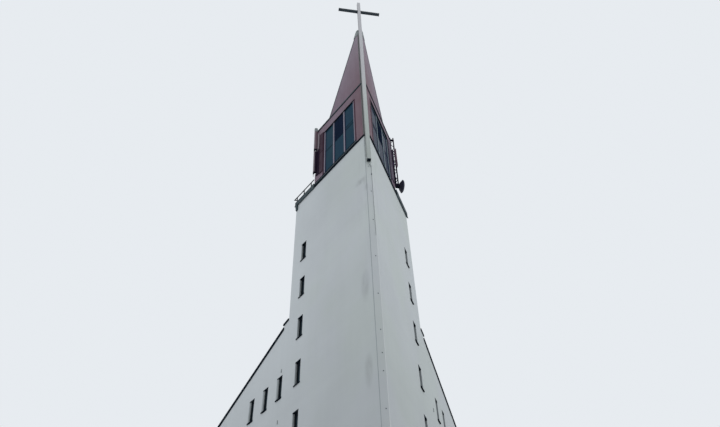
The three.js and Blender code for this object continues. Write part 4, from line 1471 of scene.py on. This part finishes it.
def makeRightAerials():
    d = ladder
    brackets = bmesh.new()
    outerX, outerY = d["outer"]
    panel, low, high = d["innerPanel"], *d["innerPanel"]["height"]
    front = outerY + d["half"] + 0.001
    cover = bmesh.new()
    addCover(cover, facingBack(front), panel["x"], -panel["deep"], 0.0, (low, high))
    makePiece("right_aerial_inner_cover", cover, "plum_cover", ("right_aerial_inner",), 0.004)
    for z in (low + d["bracket"], high - d["bracket"]):
        addBlock(brackets, fromReal, (panel["x"][1] - 0.05, outerX), (outerY, front + 0.02), around(z, 0.025))
    panel, low, high = d["outerPanel"], *d["outerPanel"]["height"]
    cover, back = newMeshes(2)
    span = around(outerY, panel["half"])
    addCover(cover, facingSide(1, panel["face"]), span, -panel["out"], -0.001, (low, high))
    makePiece("right_aerial_cover", cover, "maroon_cover", ("right_aerial",), 0.004)
    for z in (low + d["bracket"], high - d["bracket"]):
        addBlock(brackets, fromReal, (outerX, panel["face"] + 0.004), around(outerY, 0.025), around(z, 0.025))
    makePiece("right_aerial_brackets", brackets, "tube_steel")
    plate = (outerX - 0.015, outerX + 0.038)
    addBlock(back, facingFront(outerY - d["radius"]["outer"]), plate, (-0.008, 0.02), (low, high))
    makePiece("right_aerial_backplate", back, "mauve_steel")


dish = {
    "place": (2.6706, 4.33, 32.51),
    "radius": 0.41,
    "shell": 0.19,        # depth of the back shell
    "rim": 0.04,
    "cover": 0.12,        # how far the front bulges
    "hub": 0.07,
}


def makeDish():
    d = dish
    steps, rimEnd = 10, d["shell"] + d["rim"]
    lip, shellEnd = d["radius"] - 0.012, d["radius"] - 0.015
    profile = [(0.0, d["hub"])]
    for k in range(1, steps + 1):
        share = k / steps
        profile.append((d["shell"] * share ** 1.5, d["hub"] + (shellEnd - d["hub"]) * share))
    profile += [(d["shell"], d["radius"]), (rimEnd, d["radius"]), (rimEnd, lip)]
    for k in range(1, steps + 1):
        turn = math.pi / 2 * k / steps
        profile.append((rimEnd + d["cover"] * math.sin(turn), max(0.004, lip * math.cos(turn))))
    mesh = bmesh.new()
    addTurned(mesh, fromReal(*d["place"]), Vector((1, 0, 0)), profile, 48)
    makePiece("dish_drum", mesh, "dish_sheet", ("dish",))


print("making aerials")
makeRearFold()
makeLeftAerials()
makeFacePanels()
makeLadder()
makeRightAerials()
makeDish()

# Hopper under the coping's back left corner

hopper = {"from": 6.55, "to": 6.71, "out": 0.10, "bottom": 30.9, "top": 31.449, "waist": 31.12}


def makeHopper():
    h = hopper
    mesh = bmesh.new()
    at = sideWall(-1)
    body = [(-0.002, h["top"]), (-h["out"], h["top"]), (-h["out"], h["waist"] + 0.06), (-0.075, h["waist"]),
            (-0.075, h["bottom"] + 0.05), (-0.002, h["bottom"] + 0.05)]
    addSweep(mesh, at, (h["from"] + 0.005, h["to"] - 0.005), body)
    addBlock(mesh, at, (h["from"], h["to"]), (-h["out"] - 0.004, -0.002), (h["top"] - 0.06, h["top"] - 0.03))
    middle = (h["from"] + h["to"]) / 2
    addTube(mesh, [at(middle, -0.042, h["bottom"] + 0.06), at(middle, -0.042, h["bottom"])], 0.035, 16)
    makePiece("hopper_box", mesh, "dark_sheet", ("corner_hopper",), 0.003)


makeHopper()

# Stage, light and camera

stage = {
    "floor": (0.70, 0.71, 0.71),
    "floorReach": 400,
    "sky": (0.800, 0.835, 0.872),
    "skyLight": 0.80,
    "sun": 0.25,
    "sunFrom": (0.75, -0.45, 0.75),
}


def makeStage():
    mesh = bmesh.new()
    reach = stage["floorReach"]
    corners = [(-reach, -reach), (reach, -reach), (reach, reach), (-reach, reach)]
    mesh.faces.new([mesh.verts.new((x, y, -0.001)) for x, y in corners])
    data = bpy.data.meshes.new("floor")
    mesh.to_mesh(data)
    mesh.free()
    material, tree, shader, place = startFinish("pale floor", 0.9, 0.2)
    tone = blendColours(tree, 0.0, stage["floor"], stage["floor"])
    setColour(tree, shader, darken(tree, tone, waver(tree, place, (9, 9, 9), 0.02, 3)))
    data.materials.append(material)
    floor = addObject("floor", data)


# An overcast sky: brighter overhead for the light it sheds, even and pale where it is seen.
def makeSky():
    world = bpy.data.worlds.new("overcast")
    bpy.context.scene.world = world
    world.use_nodes = True
    tree = world.node_tree
    tree.nodes.clear()
    direction = addNode(tree, "ShaderNodeTexCoord").outputs["Generated"]
    height = part(tree, direction, "Z")
    seen = addNode(tree, "ShaderNodeLightPath").outputs["Is Camera Ray"]
    lit = remap(tree, height, 0.0, 1.0, stage["skyLight"] * 0.8, stage["skyLight"] * 1.25)
    strength = addNode(tree, "ShaderNodeMix", {0: seen, 2: lit, 3: 1.0}).outputs[0]
    sky = addNode(tree, "ShaderNodeBackground", {"Color": (*stage["sky"], 1), "Strength": strength})
    addNode(tree, "ShaderNodeOutputWorld", {"Surface": sky.outputs["Background"]})


def makeSoftLight():
    lamp = bpy.data.lights.new("soft light", "SUN")
    lamp.energy = stage["sun"]
    lamp.angle = math.radians(70)
    lamp.color = (1.0, 0.99, 0.97)
    light = addObject("soft light", lamp)
    light.rotation_euler = Vector(stage["sunFrom"]).to_track_quat("Z", "Y").to_euler()


view = {"place": (-4.3317, -19.5349, 1.6), "azimuth": 10.75, "elevation": 49.06, "roll": 2.61, "lens": 32.45}


def makeCamera():
    data = bpy.data.cameras.new("camera")
    data.sensor_width = 36
    data.lens = view["lens"]
    data.clip_end = 2000
    camera = addObject("camera", data)
    turn = Matrix.Rotation(math.radians(-view["azimuth"]), 4, "Z")
    tilt = Matrix.Rotation(math.radians(90 + view["elevation"]), 4, "X")
    roll = Matrix.Rotation(math.radians(-view["roll"]), 4, "Z")
    camera.matrix_world = Matrix.Translation(fromReal(*view["place"])) @ turn @ tilt @ roll
    bpy.context.scene.camera = camera


print("setting the stage")
makeStage()
makeSky()
makeSoftLight()
makeCamera()
bpy.context.scene.view_settings.view_transform = "Standard"

print("done")
